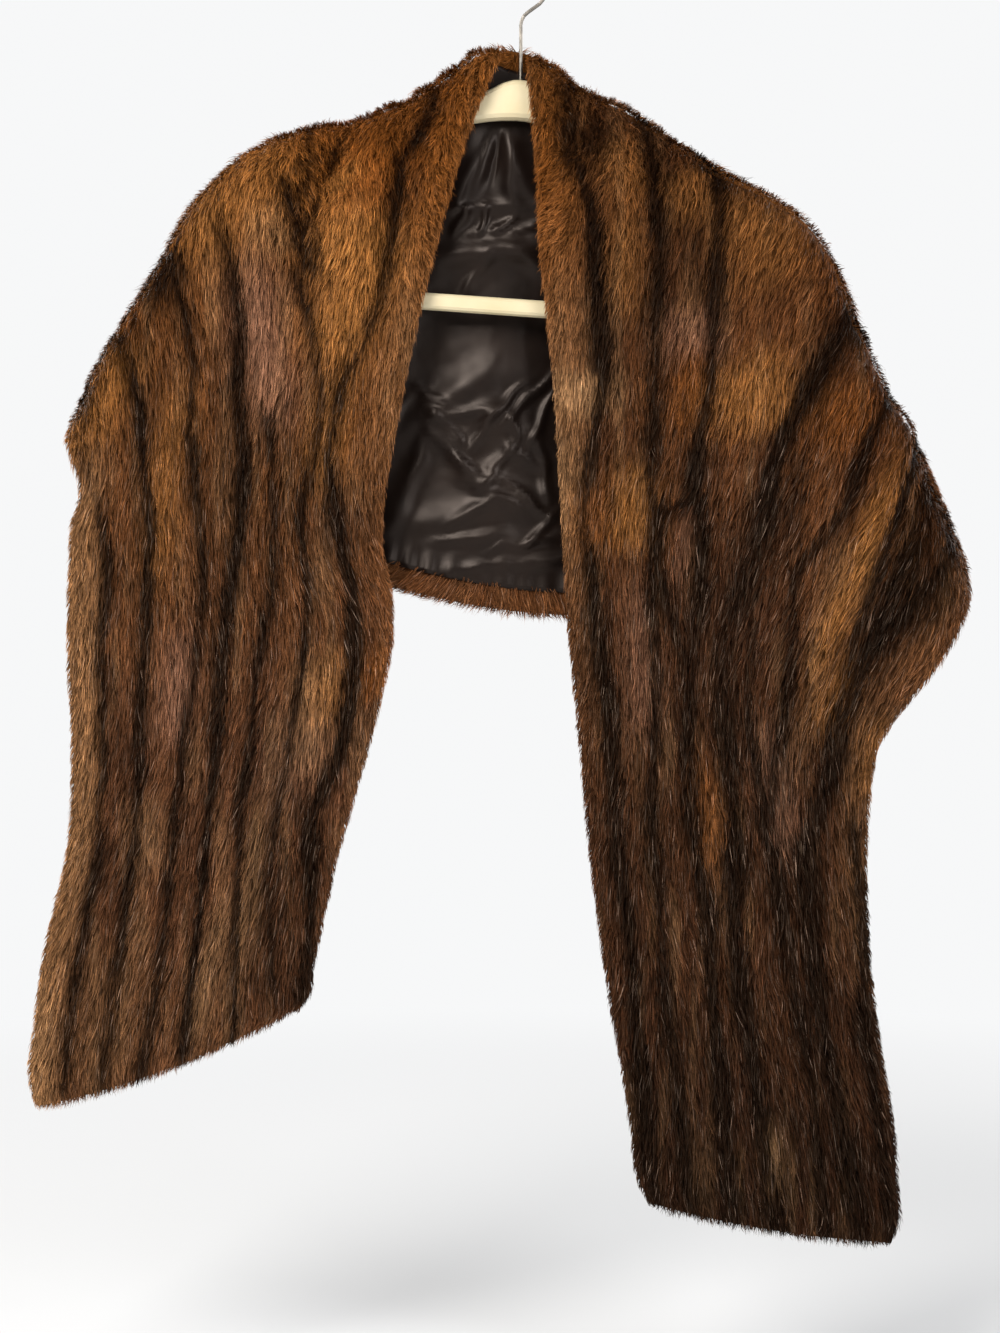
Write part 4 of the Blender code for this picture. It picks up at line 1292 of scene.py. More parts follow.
class Coat:
    """What grows on one fur piece, and in which tones. Each kind has its own stripes, rims and directions."""

    def __init__(self, sheet):
        self.sheet = sheet
        self.wobble = Noise(self.seed + 1)
        self.patchy = Noise(self.seed + 2)
        self.streaks = Noise(self.seed + 3)
        self.turns = Noise(self.seed + 4)

    def off_edges(self, roots):
        """1 over most of the piece, and 0 at its edges and its tip."""
        tip = eased(self.sheet.from_tip(roots.row) / RELIEF_FROM_EDGE)
        return tip * eased(from_ends(roots.share) / RELIEF_FROM_EDGE)

    def off_fold(self, roots):
        """1 over most of the piece, and 0 on a shoulder fold."""
        return eased(self.sheet.from_fold(roots.row) / RELIEF_FROM_FOLD)

    def heights(self, roots, lump_share):
        """How far the fur's finer relief stands out at each place."""
        x, z = roots.points[:, 0], roots.points[:, 2]
        soft = folded(self.relief, roots.points)
        soft = soft + layer(self.wobble, SWELLS, x, z) + layer(self.patchy, RIPPLES, x, z)
        soft = self.off_fold(roots) * (soft - STRIPE_DENT * self.stripes(roots, x, z))
        lumps = layer(LUMP_NOISE, LUMPS, x, z) + layer(LUMP_NOISE, SMALL_LUMPS, z, x)
        off_fold = eased(self.sheet.from_fold(roots.row) / LUMPS_FROM_FOLD)
        amount = np.maximum(fluffy(roots), FOLD_LUMPS - FOLD_LUMPS * off_fold)
        total = RELIEF_SHARE * self.off_edges(roots) * (soft + lump_share * amount * lumps)
        return np.clip(total, *RELIEF_RANGE)

    def raised(self, roots, outer_sign):
        """The roots moved out by the relief, and their normals turned to match, but not on the inner face."""
        here = self.heights(roots, 1)
        normals = roots.normals
        for way in (roots.along, roots.across):
            there = self.heights(roots._replace(points=roots.points + SLOPE_STEP * way), 1)
            slope = np.clip((there - here) / SLOPE_STEP, -STEEPEST, STEEPEST)
            normals = normals - NORMAL_SHARE * slope[:, None] * way
        facing = (np.cross(roots.along, roots.across) * roots.normals).sum(-1) * outer_sign > 0
        moved = roots.points + (facing * here)[:, None] * roots.normals
        turned = roots.normals + facing[:, None] * (normals - roots.normals)
        return roots._replace(points=moved, normals=unit(turned))

    def ground(self, roots, x, z):
        """The colours without the stripes and patches, and how much of the rim's tone there is."""
        colours = mixed(np.tile(self.upper, (len(x), 1)), self.lower, below(LOWER_TONES, z))
        colours = mixed(colours, self.lowest, below(LOWEST_TONES, z))
        colours = mixed(colours, DEEP, DEEP_SHARE + layer(self.patchy, DEEP_PATCHES, x, z))
        colours = mixed(colours, PALE, layer(self.streaks, PALE_STREAKS, x, z) + PALE_SHARE)
        colours = mixed(colours, SHADE_TONE, SHADE_SHARE * self.stripes(roots, x, z, SHADE_SPREAD))
        rim = self.rim_share(roots) * eased(RIM_GAIN * (1 - from_ends(roots.share) / TONE_FROM_EDGE))
        high = above(HIGH_RIMS, z)
        return mixed(colours, self.rim + high[:, None] * (HIGH_RIM_AND_FOLD_PAINTED_TONE - self.rim), rim), rim

    def tones(self, roots):
        """Linear colour at each root, with painted light on ridges and along the shoulder folds, and how dark
        its stripes, dark patches and painted dent shade make it.
        """
        x, z = roots.points[:, 0], roots.points[:, 2]
        x = x + layer(self.wobble, TONE_SHIFT_X, x, z)
        z = z + layer(self.wobble, TONE_SHIFT_Z, z, x)
        colours, rim = self.ground(roots, x, z)
        dark = self.stripes(roots, x, z) * (1 - RIM_CLEARS * rim)
        for patch in self.patches:
            if patch.tone is not DARK:
                shape = patch.amount * patch_shape(patch, x, z)
                colours = mixed(colours, patch.tone, shape)
                dark = dark * (1 - PATCH_CLEARS * shape)
        # Dark patches darken like a stripe, and some of them are painted shade in creases
        for patch in self.patches:
            if patch.tone is DARK:
                dark = np.maximum(dark, patch.amount * patch_shape(patch, x, z))
        # Painted light along the shoulder folds: lighter fur and fainter stripes, for the light through the
        # hair on the outline
        near = 1 - eased(self.sheet.from_fold(roots.row) / TONE_FROM_FOLD)
        colours = mixed(colours, HIGH_RIM_AND_FOLD_PAINTED_TONE, FOLD_PAINTED_TONE_SHARE * near) * (1 + FOLD_PAINTED_LIGHT * near)[:, None]
        colours = colours * (1 + TOUSLE.light * fluffy(roots))[:, None]
        # Painted shade in the dents of the relief, and painted light on its ridges
        depth = folded(self.relief, roots.points) + LARGE_FOLDS * folded(self.sheet.folds, roots.points)
        dark = np.maximum(dark, DENT_PAINTED_SHADE * np.clip(-depth / DEEPEST, 0, 1)) * (1 - FOLD_PAINTED_LIGHT_CLEARS * near)
        colours = colours * (1 + RIDGE_PAINTED_LIGHT * np.clip(depth, 0, DEEPEST))[:, None]
        return colours * (1 + layer(self.streaks, FINE_STREAKS, x, z))[:, None], dark

    def wander(self, roots, turns):
        """The degrees that the hair strays from its way at each root, more where it is tousled."""
        x, z = roots.points[:, 0], roots.points[:, 2]
        long, short = turns
        found = long * layer(self.turns, LONG_TURNS, x, z) + short * layer(self.turns, SHORT_TURNS, x, z)
        return found * (1 + TOUSLE.wander * fluffy(roots))


class FrontCoat(Coat):
    """The coat of a front: hair runs down to the tip and out to both edges."""

    rim = TAN

    def rim_share(self, roots):
        """How much of the rim's tone each edge has at each row."""

        def at(rim):
            """The share that one edge has."""
            done = eased((roots.row - rim.start) / rim.reach)
            return rim.amount * (1 - done if rim.fades else done)

        return np.where(roots.share < 0.5, at(self.inner_rim), at(self.outer_rim))

    def stripes(self, roots, x, z, spread=1):
        """How dark the stripes are at each place, as wide as they are or spread wider."""
        dark = np.zeros(len(x))
        for n, stripe in enumerate(self.routes):
            breaks = layer(self.patchy, STRIPE_BREAKS._replace(shift_x=BREAK_SHIFT * n), z, x)
            waves = layer(self.wobble, STRIPE_WAVES._replace(shift_x=WAVE_SHIFT * n), z, n)
            wide = spread * self.stripe_share * stripe.width * (1 + waves)
            shape = np.exp(-((route_distance(stripe.route, x, z) / wide) ** SHARPNESS))
            dark = np.maximum(dark, stripe.strength * (STRIPE_STRENGTH + breaks) * shape)
        return dark

    def directions(self, roots):
        """The way of the hair at each root."""
        spread = 2 * roots.share - 1
        angle = np.radians(EDGE_TURN * spread**3 + self.wander(roots, FRONT_WANDER))[:, None]
        return np.cos(angle) * roots.along + np.sin(angle) * roots.across


class LeftCoat(FrontCoat):
    """The left front: lighter, and lightest along its outer edge."""

    seed = 40
    routes = LEFT_STRIPES
    patches = LEFT_PATCHES
    relief = LEFT_RELIEF
    upper = 0.55 * BROWN + 0.2 * GOLD + 0.25 * ORANGE
    lower = 0.7 * BROWN + 0.15 * ROSE + 0.2 * DEEP
    lowest = 0.85 * BROWN + 0.15 * ROSE
    stripe_share = 0.78
    inner_rim = Rim(0.6, 0.3, 0.3, True)
    outer_rim = Rim(0.9, 0.0, 0.3, False)


class RightCoat(FrontCoat):
    """The right front: darker all the way down."""

    seed = 70
    routes = RIGHT_STRIPES
    patches = RIGHT_PATCHES
    relief = RIGHT_RELIEF
    upper = 0.7 * BROWN + 0.2 * ORANGE
    lower = 0.3 * BROWN + 0.6 * DEEP
    lowest = 0.36 * DEEP
    stripe_share = 0.92
    inner_rim = Rim(0.6, 0.3, 0.4, True)
    outer_rim = Rim(0.25, 0.6, 0.2, True)


class BackCoat(Coat):
    """The coat of the back: hair runs from the centre out to both shoulder folds, and down."""

    seed = 100
    patches = BACK_PATCHES
    relief = BACK_RELIEF
    upper = 0.55 * BROWN + 0.45 * ORANGE
    lower = 0.75 * BROWN + 0.25 * DEEP
    lowest = lower
    rim = BROWN

    def rim_share(self, roots):
        """How much of the rim's tone there is: the same all along."""
        return BACK_RIM + 0 * roots.share

    def stripes(self, roots, x, z, spread=1):
        """How dark the stripes are at each place, as wide as they are or spread wider."""
        dark = np.zeros(len(x))
        for n, stripe in enumerate(BACK_STRIPES):
            middle = read_curve(np.linspace(0, 1, len(stripe.shares)), np.array(stripe.shares), roots.row)
            strays = BACK_WANDER * self.wobble(roots.row * BACK_WANDER_CELLS, n + 0.0 * roots.row)
            away = (roots.share - middle) * BACK_WIDTH + strays
            along, down = BACK_BREAK_CELLS
            breaks = BACK_BREAKS * self.patchy(roots.row * along + BREAK_SHIFT * n, roots.share * down)
            shape = np.exp(-((away / (spread * stripe.width)) ** 2))
            dark = np.maximum(dark, stripe.strength * (BACK_STRENGTH + breaks) * shape)
        return dark

    def directions(self, roots):
        """The way of the hair at each root."""
        off_fold = eased(self.sheet.from_fold(roots.row) / DOWN_FROM_FOLD)
        outwards = np.clip((roots.row - 0.5) / PARTING, -1, 1) * (LEAST_OUT + (1 - LEAST_OUT) * off_fold)
        down = LEAST_DOWN + (1 - LEAST_DOWN) * (1 - np.abs(outwards))
        run = outwards[:, None] * roots.along + down[:, None] * roots.across
        beside = np.cross(roots.normals, run)
        angle = np.radians(self.wander(roots, BACK_HAIR_WANDER))[:, None]
        return np.cos(angle) * run + np.sin(angle) * beside


def shell_faces(rings, columns, rim_points):
    """Triangles of a closed shell of rings: two faces of equal columns, joined by rims, and filled ends."""
    tall, around = rings.shape[:2]
    grid = np.arange(tall * around).reshape(tall, around)
    over = np.roll(grid, -1, axis=1)
    low, low_over, high, high_over = grid[:-1], over[:-1], grid[1:], over[1:]
    faces = [
        np.stack([low, low_over, high_over], -1).reshape(-1, 3),
        np.stack([low, high_over, high], -1).reshape(-1, 3),
    ]
    reach = (rim_points + 1) // 2
    opposite = 2 * columns + rim_points + 1
    ends = []
    for k in range(-reach, columns + reach):
        a, b, c, d = (m % around for m in (k, k + 1, opposite - k - 1, opposite - k))
        ends += [found for found in ((a, b, c), (a, c, d)) if len(set(found)) == 3]
    ends = np.array(ends)
    faces = np.concatenate(faces + [ends[:, ::-1], ends + grid[-1, 0]])
    flat = rings.reshape(-1, 3)
    a, b, c = (flat[faces[:, k]] for k in range(3))
    outward = (a * np.cross(b, c)).sum() > 0
    return faces if outward else faces[:, ::-1]


def place_mesh(name, points, faces, material):
    """A mesh object of equal faces, from points in millimetres."""
    mesh = bpy.data.meshes.new(name)
    mesh.vertices.add(len(points))
    mesh.vertices.foreach_set("co", (points * MM).astype(np.float32).ravel())
    mesh.loops.add(faces.size)
    mesh.loops.foreach_set("vertex_index", faces.astype(np.int32).ravel())
    mesh.polygons.add(len(faces))
    mesh.polygons.foreach_set("loop_start", np.arange(0, faces.size, faces.shape[1], dtype=np.int32))
    mesh.update(calc_edges=True)
    mesh.materials.append(material)
    mesh.shade_smooth()
    piece = bpy.data.objects.new(name, mesh)
    bpy.context.scene.collection.objects.link(piece)
    return piece


def paint(piece, colours):
    """Stores one linear colour for each point of a piece."""
    attribute = piece.data.color_attributes.new("tone", "FLOAT_COLOR", "POINT")
    full = np.concatenate([colours, np.ones((len(colours), 1))], axis=1).clip(0, 1)
    attribute.data.foreach_set("color", full.astype(np.float32).ravel())


# A strand's darkness in a stripe and in painted dent shade: how it grows with the stripe's, how it varies,
# and how much is left out
DARK_GAIN = 1.25
DARK_VARIES = 0.12
DARK_OFF = 0.08

# Painted glints: some guard hairs end in a pale silver that stands for light glinting on them: how many, and
# how much of it they have
PAINTED_GLINT_HAIRS = 0.14
PAINTED_GLINT_AMOUNTS = (0.05, 0.26)

# How strands vary in shade: the share that they vary by at the top, the mean, and the darkest and lightest
LEAST_VARY = 0.7
MEAN_SHADE = -0.1
SHADE_RANGE = (0.3, 2.4)

# Painted shade: the skin is darker than the hair that grows on it, for the shadow between the tufts
SKIN_PAINTED_SHADE = 0.45


class Strands:
    """The strands of one kind of hair on a fur piece, drawn together into tufts."""

    def __init__(self, kind, count, coat, skin, allowed, outer_sign, seed):
        self.kind = kind
        self.count = count
        self.coat = coat
        self.rng = np.random.default_rng(seed)
        self.bare = take_roots(skin, allowed, count, self.rng)
        self.roots = coat.raised(self.bare, outer_sign)
        self.tufts = take_roots(skin, allowed, count // TUFT_STRANDS, self.rng)
        tree = KDTree(len(self.tufts.points))
        for n, point in enumerate(self.tufts.points):
            tree.insert(point, n)
        tree.balance()
        self.tuft = np.array([tree.find(point)[1] for point in self.roots.points])
        self.tuft_lift = self.rng.uniform(*TUFT_LIFTS, len(self.tufts.points))[self.tuft]
        self.tuft_turn = self.rng.normal(0, TUFT_TURN, len(self.tufts.points))[self.tuft]
        self.tuft_tone = self.rng.normal(1, TUFT_SHADE, len(self.tufts.points))[self.tuft]
        self.fluff = fluffy(self.roots)
        self.from_edge = from_ends(self.roots.share)
        self.from_fold = coat.sheet.from_fold(self.roots.row)

    def flow(self):
        """The way of the hair over the fur at each root, and the direction square to it."""
        normals = self.roots.normals
        flow = self.coat.directions(self.roots)
        flow = flow - (flow * normals).sum(-1, keepdims=True) * normals
        flow = unit(flow + 1e-6)
        return flow, np.cross(normals, flow)

    def lengths(self):
        """The length of each strand, shorter at the edges and the tip and where the fur is tousled."""
        fluff = self.fluff
        edge = np.maximum(eased(self.from_edge / LENGTH_FROM_EDGE), TOUSLED_EDGE * fluff)
        tip = eased(self.coat.sheet.from_tip(self.roots.row) / LENGTH_FROM_TIP)
        length = self.kind.length * self.rng.uniform(*LENGTHS, self.count) * (1 + TOUSLE.length * fluff)
        return length * (EDGE_LENGTH + (1 - EDGE_LENGTH) * edge) * (TIP_LENGTH + (1 - TIP_LENGTH) * tip)

    def paths(self):
        """The points of each strand, from its root to its tip, and how it is tilted about its length."""
        kind, rng, roots, fluff = self.kind, self.rng, self.roots, self.fluff
        flow, beside = self.flow()
        offset = ((roots.points - self.tufts.points[self.tuft]) * beside).sum(-1)
        offset = np.clip(offset, -TUFT_REACH, TUFT_REACH)
        off_fold = np.maximum(eased(self.from_fold / LENGTH_FROM_FOLD), fluff)
        length = self.lengths() * (FOLD_LENGTH + (1 - FOLD_LENGTH) * off_fold)
        turn = self.tuft_turn * (1 + TOUSLE.tuft_turn * fluff)
        turn = turn + rng.normal(0, STRAND_TURN, self.count) * (1 + TOUSLE.turn * fluff)
        turn = np.radians(turn)[:, None]
        flow = np.cos(turn) * flow + np.sin(turn) * beside
        beside = np.cross(roots.normals, flow)
        lift_share = self.tuft_lift * rng.uniform(*LIFTS, self.count) * (1 + TOUSLE.lift * fluff)
        lift_share = lift_share * (FOLD_LIFT + (1 - FOLD_LIFT) * off_fold)
        sway = kind.sway * rng.normal(0, 1, self.count)
        tilt = rng.uniform(*TILTS, self.count)

        steps = len(kind.lifts)
        pull = kind.pull * (1 + TOUSLE.pull * fluff)
        places = [roots.points]
        for step, lift in enumerate(kind.lifts):
            lifted = lift * lift_share + rng.normal(0, BEND, self.count)
            angle = np.radians(np.clip(lifted, *BEND_RANGE))[:, None]
            way = np.cos(angle) * flow + np.sin(angle) * roots.normals
            moved = places[-1] + way * (length / steps)[:, None]
            share = (step + 1) / steps
            pulled = -pull * offset * share / steps * TUFT_PULL + sway * (2 * share - 1 / steps) / steps
            places.append(moved + pulled[:, None] * beside)
        return self.kept_out(np.stack(places, 1)), tilt

    def kept_out(self, path):
        """The paths with no point far below its root's place on the skin."""
        normals = self.bare.normals[:, None]
        depths = ((path - self.bare.points[:, None]) * normals).sum(-1)
        floor = np.minimum(depths[:, :1], -LEAST_DIP) - DIP_ROOM
        return path + np.maximum(floor - depths, 0)[..., None] * normals

    def ribbons(self):
        """Tapered ribbons along the paths. Where a strand is on an outline, its face turns to the front."""
        path, tilt = self.paths()
        steps = len(self.kind.lifts)
        off_fold = eased(self.from_fold / OUTLINE_FROM_FOLD)
        outline = 1 - np.minimum(off_fold, eased(self.from_edge / OUTLINE_FROM_EDGE))
        facing = unit(self.roots.normals + OUTLINE_TURN * outline[:, None] * np.array([0, -1.0, 0]))
        ahead = unit(np.gradient(path, axis=1))
        cross_way = unit(np.cross(ahead, facing[:, None]))
        up = np.cross(cross_way, ahead)
        turned = np.radians(tilt)[:, None, None]
        width_way = np.cos(turned) * cross_way + np.sin(turned) * up
        wide = self.kind.width * self.rng.uniform(*WIDTHS, self.count)[:, None, None] / 2
        shape = np.linspace(1, LAST_WIDTH, steps)[None, :, None]
        left = path[:, :-1] - width_way[:, :-1] * wide * shape
        right = path[:, :-1] + width_way[:, :-1] * wide * shape
        corners = np.stack([left, right], 2).reshape(self.count, 2 * steps, 3)
        points = np.concatenate([corners, path[:, -1:]], axis=1)

        faces = []
        for k in range(0, 2 * steps - 2, 2):
            faces += [(k, k + 1, k + 3), (k, k + 3, k + 2)]
        faces.append((2 * steps - 2, 2 * steps - 1, 2 * steps))
        faces = np.array(faces)[None] + (np.arange(self.count) * (2 * steps + 1))[:, None, None]
        return points.reshape(-1, 3), faces.reshape(-1, 3)

    def colours(self):
        """The colour of each point of the ribbons, with painted shade at the roots and painted light at the
        tips.
        A strand has half its tone from the middle of its tuft. Some guard hairs carry a painted glint.
        """
        rng, count, z = self.rng, self.count, self.roots.points[:, 2]
        middle = Skin(*((0.5 * a + 0.5 * b[self.tuft]) for a, b in zip(self.roots, self.tufts)))
        colours, dark = self.coat.tones(middle)
        dark = eased(np.clip(dark * DARK_GAIN + rng.normal(0, DARK_VARIES, count) - DARK_OFF, 0, 1))
        colours = mixed(colours, DARK, dark * self.kind.dark)
        # Painted glints on some guard hairs, lower down
        if self.kind is GUARD_HAIR:
            painted_glints = (rng.random(count) < PAINTED_GLINT_HAIRS) * (1 - self.fluff) * below(PAINTED_GLINTS_FROM, z)
            colours = mixed(colours, PAINTED_GLINT_TONE, painted_glints * rng.uniform(*PAINTED_GLINT_AMOUNTS, count))
        vary = self.kind.vary * (LEAST_VARY + (1 - LEAST_VARY) * below(VARIED_TONES, z))
        shade = self.tuft_tone * np.exp(vary * rng.normal(MEAN_SHADE, 1, count))
        colours = colours * shade.clip(*SHADE_RANGE)[:, None]
        # Each strand darker at its root and lighter at its tip: painted shade and painted light
        along = np.repeat(np.linspace(*self.kind.shades, len(self.kind.lifts) + 1), 2)[:-1]
        return (colours[:, None] * along[None, :, None]).reshape(-1, 3)


def cover(name, coat, materials):
    """The skin of a fur piece and the two kinds of hair on it."""
    skin = skin_rings(coat, relief=True)
    base = skin_rings(coat, relief=False)
    facing = np.cross(skin.along, skin.across) * skin.normals
    outer_sign = np.sign(facing[:, :SKIN_COLUMNS].sum())
    faces = shell_faces(skin.points, SKIN_COLUMNS, RIM_POINTS)
    piece = place_mesh(f"{name}_skin", skin.points.reshape(-1, 3), faces, materials["skin"])
    colours, dark = coat.tones(listed(skin))
    # The skin takes the stripes and painted dent shade, darkened further as painted shade between the tufts
    paint(piece, mixed(colours, DARK, dark) * SKIN_PAINTED_SHADE)
    pieces = [piece]
    allowed = grown_on(skin, coat.sheet.has_tip)
    for ending, kind, step in (("underfur", UNDERFUR, 11), ("guard_hair", GUARD_HAIR, 12)):
        count = kind.on_front if coat.sheet.has_tip else kind.on_back
        strands = Strands(kind, count, coat, base, allowed, outer_sign, coat.seed + step)
        piece = place_mesh(f"{name}_{ending}", *strands.ribbons(), materials[ending])
        paint(piece, strands.colours())
        pieces.append(piece)
    return pieces


def lining_shell(name, sheet, folds, creased, material):
    """A thin lining on the form of its solid, with its creases."""
    rows = sheet.lining_rows
    columns = sheet.lining_columns
    fine_shares = np.linspace(LINING_MARGIN, 1 - LINING_MARGIN, columns + 1)
    points, normals, half = fine_surface(sheet, rows, fine_shares)
    for row in sheet.fold_rows:
        points[row, :, 1] = 0
    loose = np.maximum(folded(folds, points), 0)
    if creased:
        fade = eased(from_ends(rows) / CREASES_FROM_FOLD)[:, None]
        clear = eased((np.abs(points[..., 2] - arm_height(points[..., 0])) - ARM_CLEAR) / ARM_FADE)
        loose = np.maximum(loose + fade * clear * creases(points, rows, fine_shares), LOWEST_CREASE)
    for row in sheet.fold_rows:
        loose[row] = 0
    centres = points - normals * (half + LINING_DEPTH + loose)[..., None]
    wall = LINING_WALL * SATIN_SHARE
    rings = np.concatenate([centres + wall * normals, (centres - wall * normals)[:, ::-1]], axis=1)
    return place_mesh(name, rings.reshape(-1, 3), shell_faces(rings, columns, 0), material)


def arm_height(x):
    """The height of the middle of the hanger's arms at each x."""
    return ARM_TOP - ARM_SLOPE * np.abs(x) + ARM_LEAN * x


def creases(points, rows, shares):
    """Heights of the fine creases, of the puckers along the hem and of a slight unevenness."""
    x, z = points[..., 0], points[..., 2]
    noise = Noise(5)
    bent_x = x + layer(noise, CREASE_BEND_X, x, z)
    bent_z = z + layer(noise, CREASE_BEND_Z, x, z)
    total = CREASE_SHARE * folded(CREASES, np.stack([bent_x, points[..., 1], bent_z], -1))
    near_hem = np.exp(-(((shares - (1 - LINING_MARGIN)) / PUCKER_REACH) ** 2))[None, :]
    drift = PUCKER_DRIFT * noise(rows * PUCKER_DRIFT_CELLS, 0 * rows)[:, None]
    phase = rows[:, None] * PUCKERS * 2 * np.pi + drift
    strength = 1 + PUCKER_VARIES * noise(rows * PUCKER_VARY_CELLS, 0 * rows + 7)[:, None]
    total = total + PUCKER_HEIGHT * near_hem * strength * (1 + np.sin(phase))
    return total + layer(noise, UNEVEN, x, z) + layer(noise, FINE_UNEVEN, x, z)


# How each material looks. Roughness is a range, and bump a strength and a distance in metres.
FurLook = namedtuple("FurLook", "name roughness specular scale bump")
FUR_LOOKS = {
    "skin": FurLook("fur_skin", (0.7, 0.95), 0.1, 260, (0.6, 0.0012)),
    "underfur": FurLook("underfur", (0.6, 0.85), 0.12, 420, (0.2, 0.0003)),
    "guard_hair": FurLook("guard_hair", (0.36, 0.5), 0.2, 420, (0.15, 0.0003)),
}
FUR_TINT = (1.0, 0.68, 0.44, 1)
FUR_SHADES = (0.8, 1.2)

# The scales of the noise in the roughness and the grain, as shares of that in the tones
FUR_ROUGH = 0.4
FUR_GRAIN = 4
PLAIN_ROUGH = 2.3

# The middle part of a noise that is drawn out to the whole range
NOISE_MIDDLE = (0.3, 0.7)

Look = namedtuple("Look", "name first second scale roughness metallic bump_scale bump specular tint")
SATIN = Look(
    "brown_satin_look", srgb(15, 9, 7), srgb(24, 16, 12), 26, (0.32, 0.44), 0, 2600, (0.12, 0.0002),
    0.22, (1.0, 0.84, 0.74, 1),
)
IVORY = Look(
    "ivory_plastic_look", srgb(206, 192, 158), srgb(196, 181, 144), 34, (0.28, 0.45), 0, 700, (0.08, 0.0004),
    0.5, (1, 1, 1, 1),
)
STEEL = Look(
    "steel_wire_look", srgb(118, 112, 104), srgb(96, 92, 86), 160, (0.36, 0.5), 1, 1500, (0.1, 0.0002),
    0.5, (1, 1, 1, 1),
)


class Material:
    """A material under way: its nodes, and the parts that all of them share."""

    def __init__(self, name):
        self.made = bpy.data.materials.new(name)
        self.made.use_nodes = True
        self.nodes = self.made.node_tree.nodes
        self.links = self.made.node_tree.links
        self.shader = self.nodes["Principled BSDF"]
        self.place = self.nodes.new("ShaderNodeTexCoord")

    def noise(self, scale, detail):
        """A noise texture over the object's own coordinates."""
        noise = self.nodes.new("ShaderNodeTexNoise")
        noise.inputs["Scale"].default_value = scale
        noise.inputs["Detail"].default_value = detail
        self.links.new(self.place.outputs["Object"], noise.inputs["Vector"])
        return noise

    def ranged(self, source, low, high):
        """A noise drawn out to the range from low to high."""
        node = self.nodes.new("ShaderNodeMapRange")
        node.inputs["From Min"].default_value, node.inputs["From Max"].default_value = NOISE_MIDDLE
        node.inputs["To Min"].default_value = low
        node.inputs["To Max"].default_value = high
        self.links.new(source.outputs["Fac"], node.inputs["Value"])
        return node

    def finish(self, look, rough_scale, grain_scale, detail):
        """Sets the roughness, the gloss and the fine grain, and gives the finished material."""
        shader = self.shader
        rough = self.ranged(self.noise(rough_scale, detail), *look.roughness)
        self.links.new(rough.outputs["Result"], shader.inputs["Roughness"])
        shader.inputs["Specular IOR Level"].default_value = look.specular
        bump = self.nodes.new("ShaderNodeBump")
        bump.inputs["Strength"].default_value, bump.inputs["Distance"].default_value = look.bump
        self.links.new(self.noise(grain_scale, detail).outputs["Fac"], bump.inputs["Height"])
        self.links.new(bump.outputs["Normal"], shader.inputs["Normal"])
        return self.made


def fur_material(look):
    """Fur: the tones stored in the mesh, broken up finely."""
    material = Material(look.name)
    tone = material.nodes.new("ShaderNodeVertexColor")
    tone.layer_name = "tone"
    shade = material.ranged(material.noise(look.scale, 3), *FUR_SHADES)
    mix = material.nodes.new("ShaderNodeVectorMath")
    mix.operation = "SCALE"
    material.links.new(tone.outputs["Color"], mix.inputs[0])
    material.links.new(shade.outputs["Result"], mix.inputs["Scale"])
    material.links.new(mix.outputs["Vector"], material.shader.inputs["Base Color"])
    material.shader.inputs["Specular Tint"].default_value = FUR_TINT
    return material.finish(look, look.scale * FUR_ROUGH, look.scale * FUR_GRAIN, 2)


def two_tone(look):
    """A material of two near tones, broken up by noise, with its own roughness and grain."""
    material = Material(look.name)
    blend = material.ranged(material.noise(look.scale, 4), 0, 1)
    mix = material.nodes.new("ShaderNodeMix")
    mix.data_type = "RGBA"
    mix.inputs["A"].default_value = (*look.first, 1)
    mix.inputs["B"].default_value = (*look.second, 1)
    material.links.new(blend.outputs["Result"], mix.inputs["Factor"])
    material.links.new(mix.outputs["Result"], material.shader.inputs["Base Color"])
    material.shader.inputs["Metallic"].default_value = look.metallic
    material.shader.inputs["Specular Tint"].default_value = look.tint
    return material.finish(look, look.scale * PLAIN_ROUGH, look.bump_scale, 3)


# The view of the photograph, in metres: how far away, where it looks, and how tall the frame is at the stole
VIEW_DISTANCE = 2.0
VIEW_MIDDLE = (-0.016, -0.570)
VIEW_TALL = 1.0664
VIEW_PLANE = -0.012
SENSOR = 36.0

# The studio, in metres: its floor, the globe round it, and where the floor starts and ends to fade into it
FLOOR = -1.16
FLOOR_REACH = 8
FLOOR_CORNERS = 96
FLOOR_FADE = (1.2, 2.6)
FLOOR_GREY = (0.7, 0.7, 0.7, 1)
FLOOR_ROUGHNESS = 0.8
GLOBE = 9.0
BACKDROP = (0.93, 0.935, 0.94, 1)
SKY = (0.93, 0.94, 0.96, 1)
SKY_STRENGTH = 0.26
Lamp = namedtuple("Lamp", "name place size power colour aim")
LAMPS = (
    Lamp("key", (-1.1, -1.9, 0.9), (1.2, 1.2), 78, (1.0, 0.98, 0.95), (0, 0, -0.5)),
    Lamp("fill", (1.4, -1.7, 0.2), (1.2, 1.4), 34, (0.97, 0.98, 1.0), (0, 0, -0.5)),
    Lamp("behind_left", (-1.3, 1.9, 0.8), (1.4, 1.2), 40, (1.0, 1.0, 1.0), (0, 0, -0.4)),
    Lamp("behind_right", (1.5, 1.6, 0.4), (1.2, 1.2), 24, (1.0, 1.0, 1.0), (0, 0, -0.4)),
)


def linked(name, data):
    """An object of the scene that holds a mesh, a lamp or a camera."""
    thing = bpy.data.objects.new(name, data)
    bpy.context.scene.collection.objects.link(thing)
    return thing


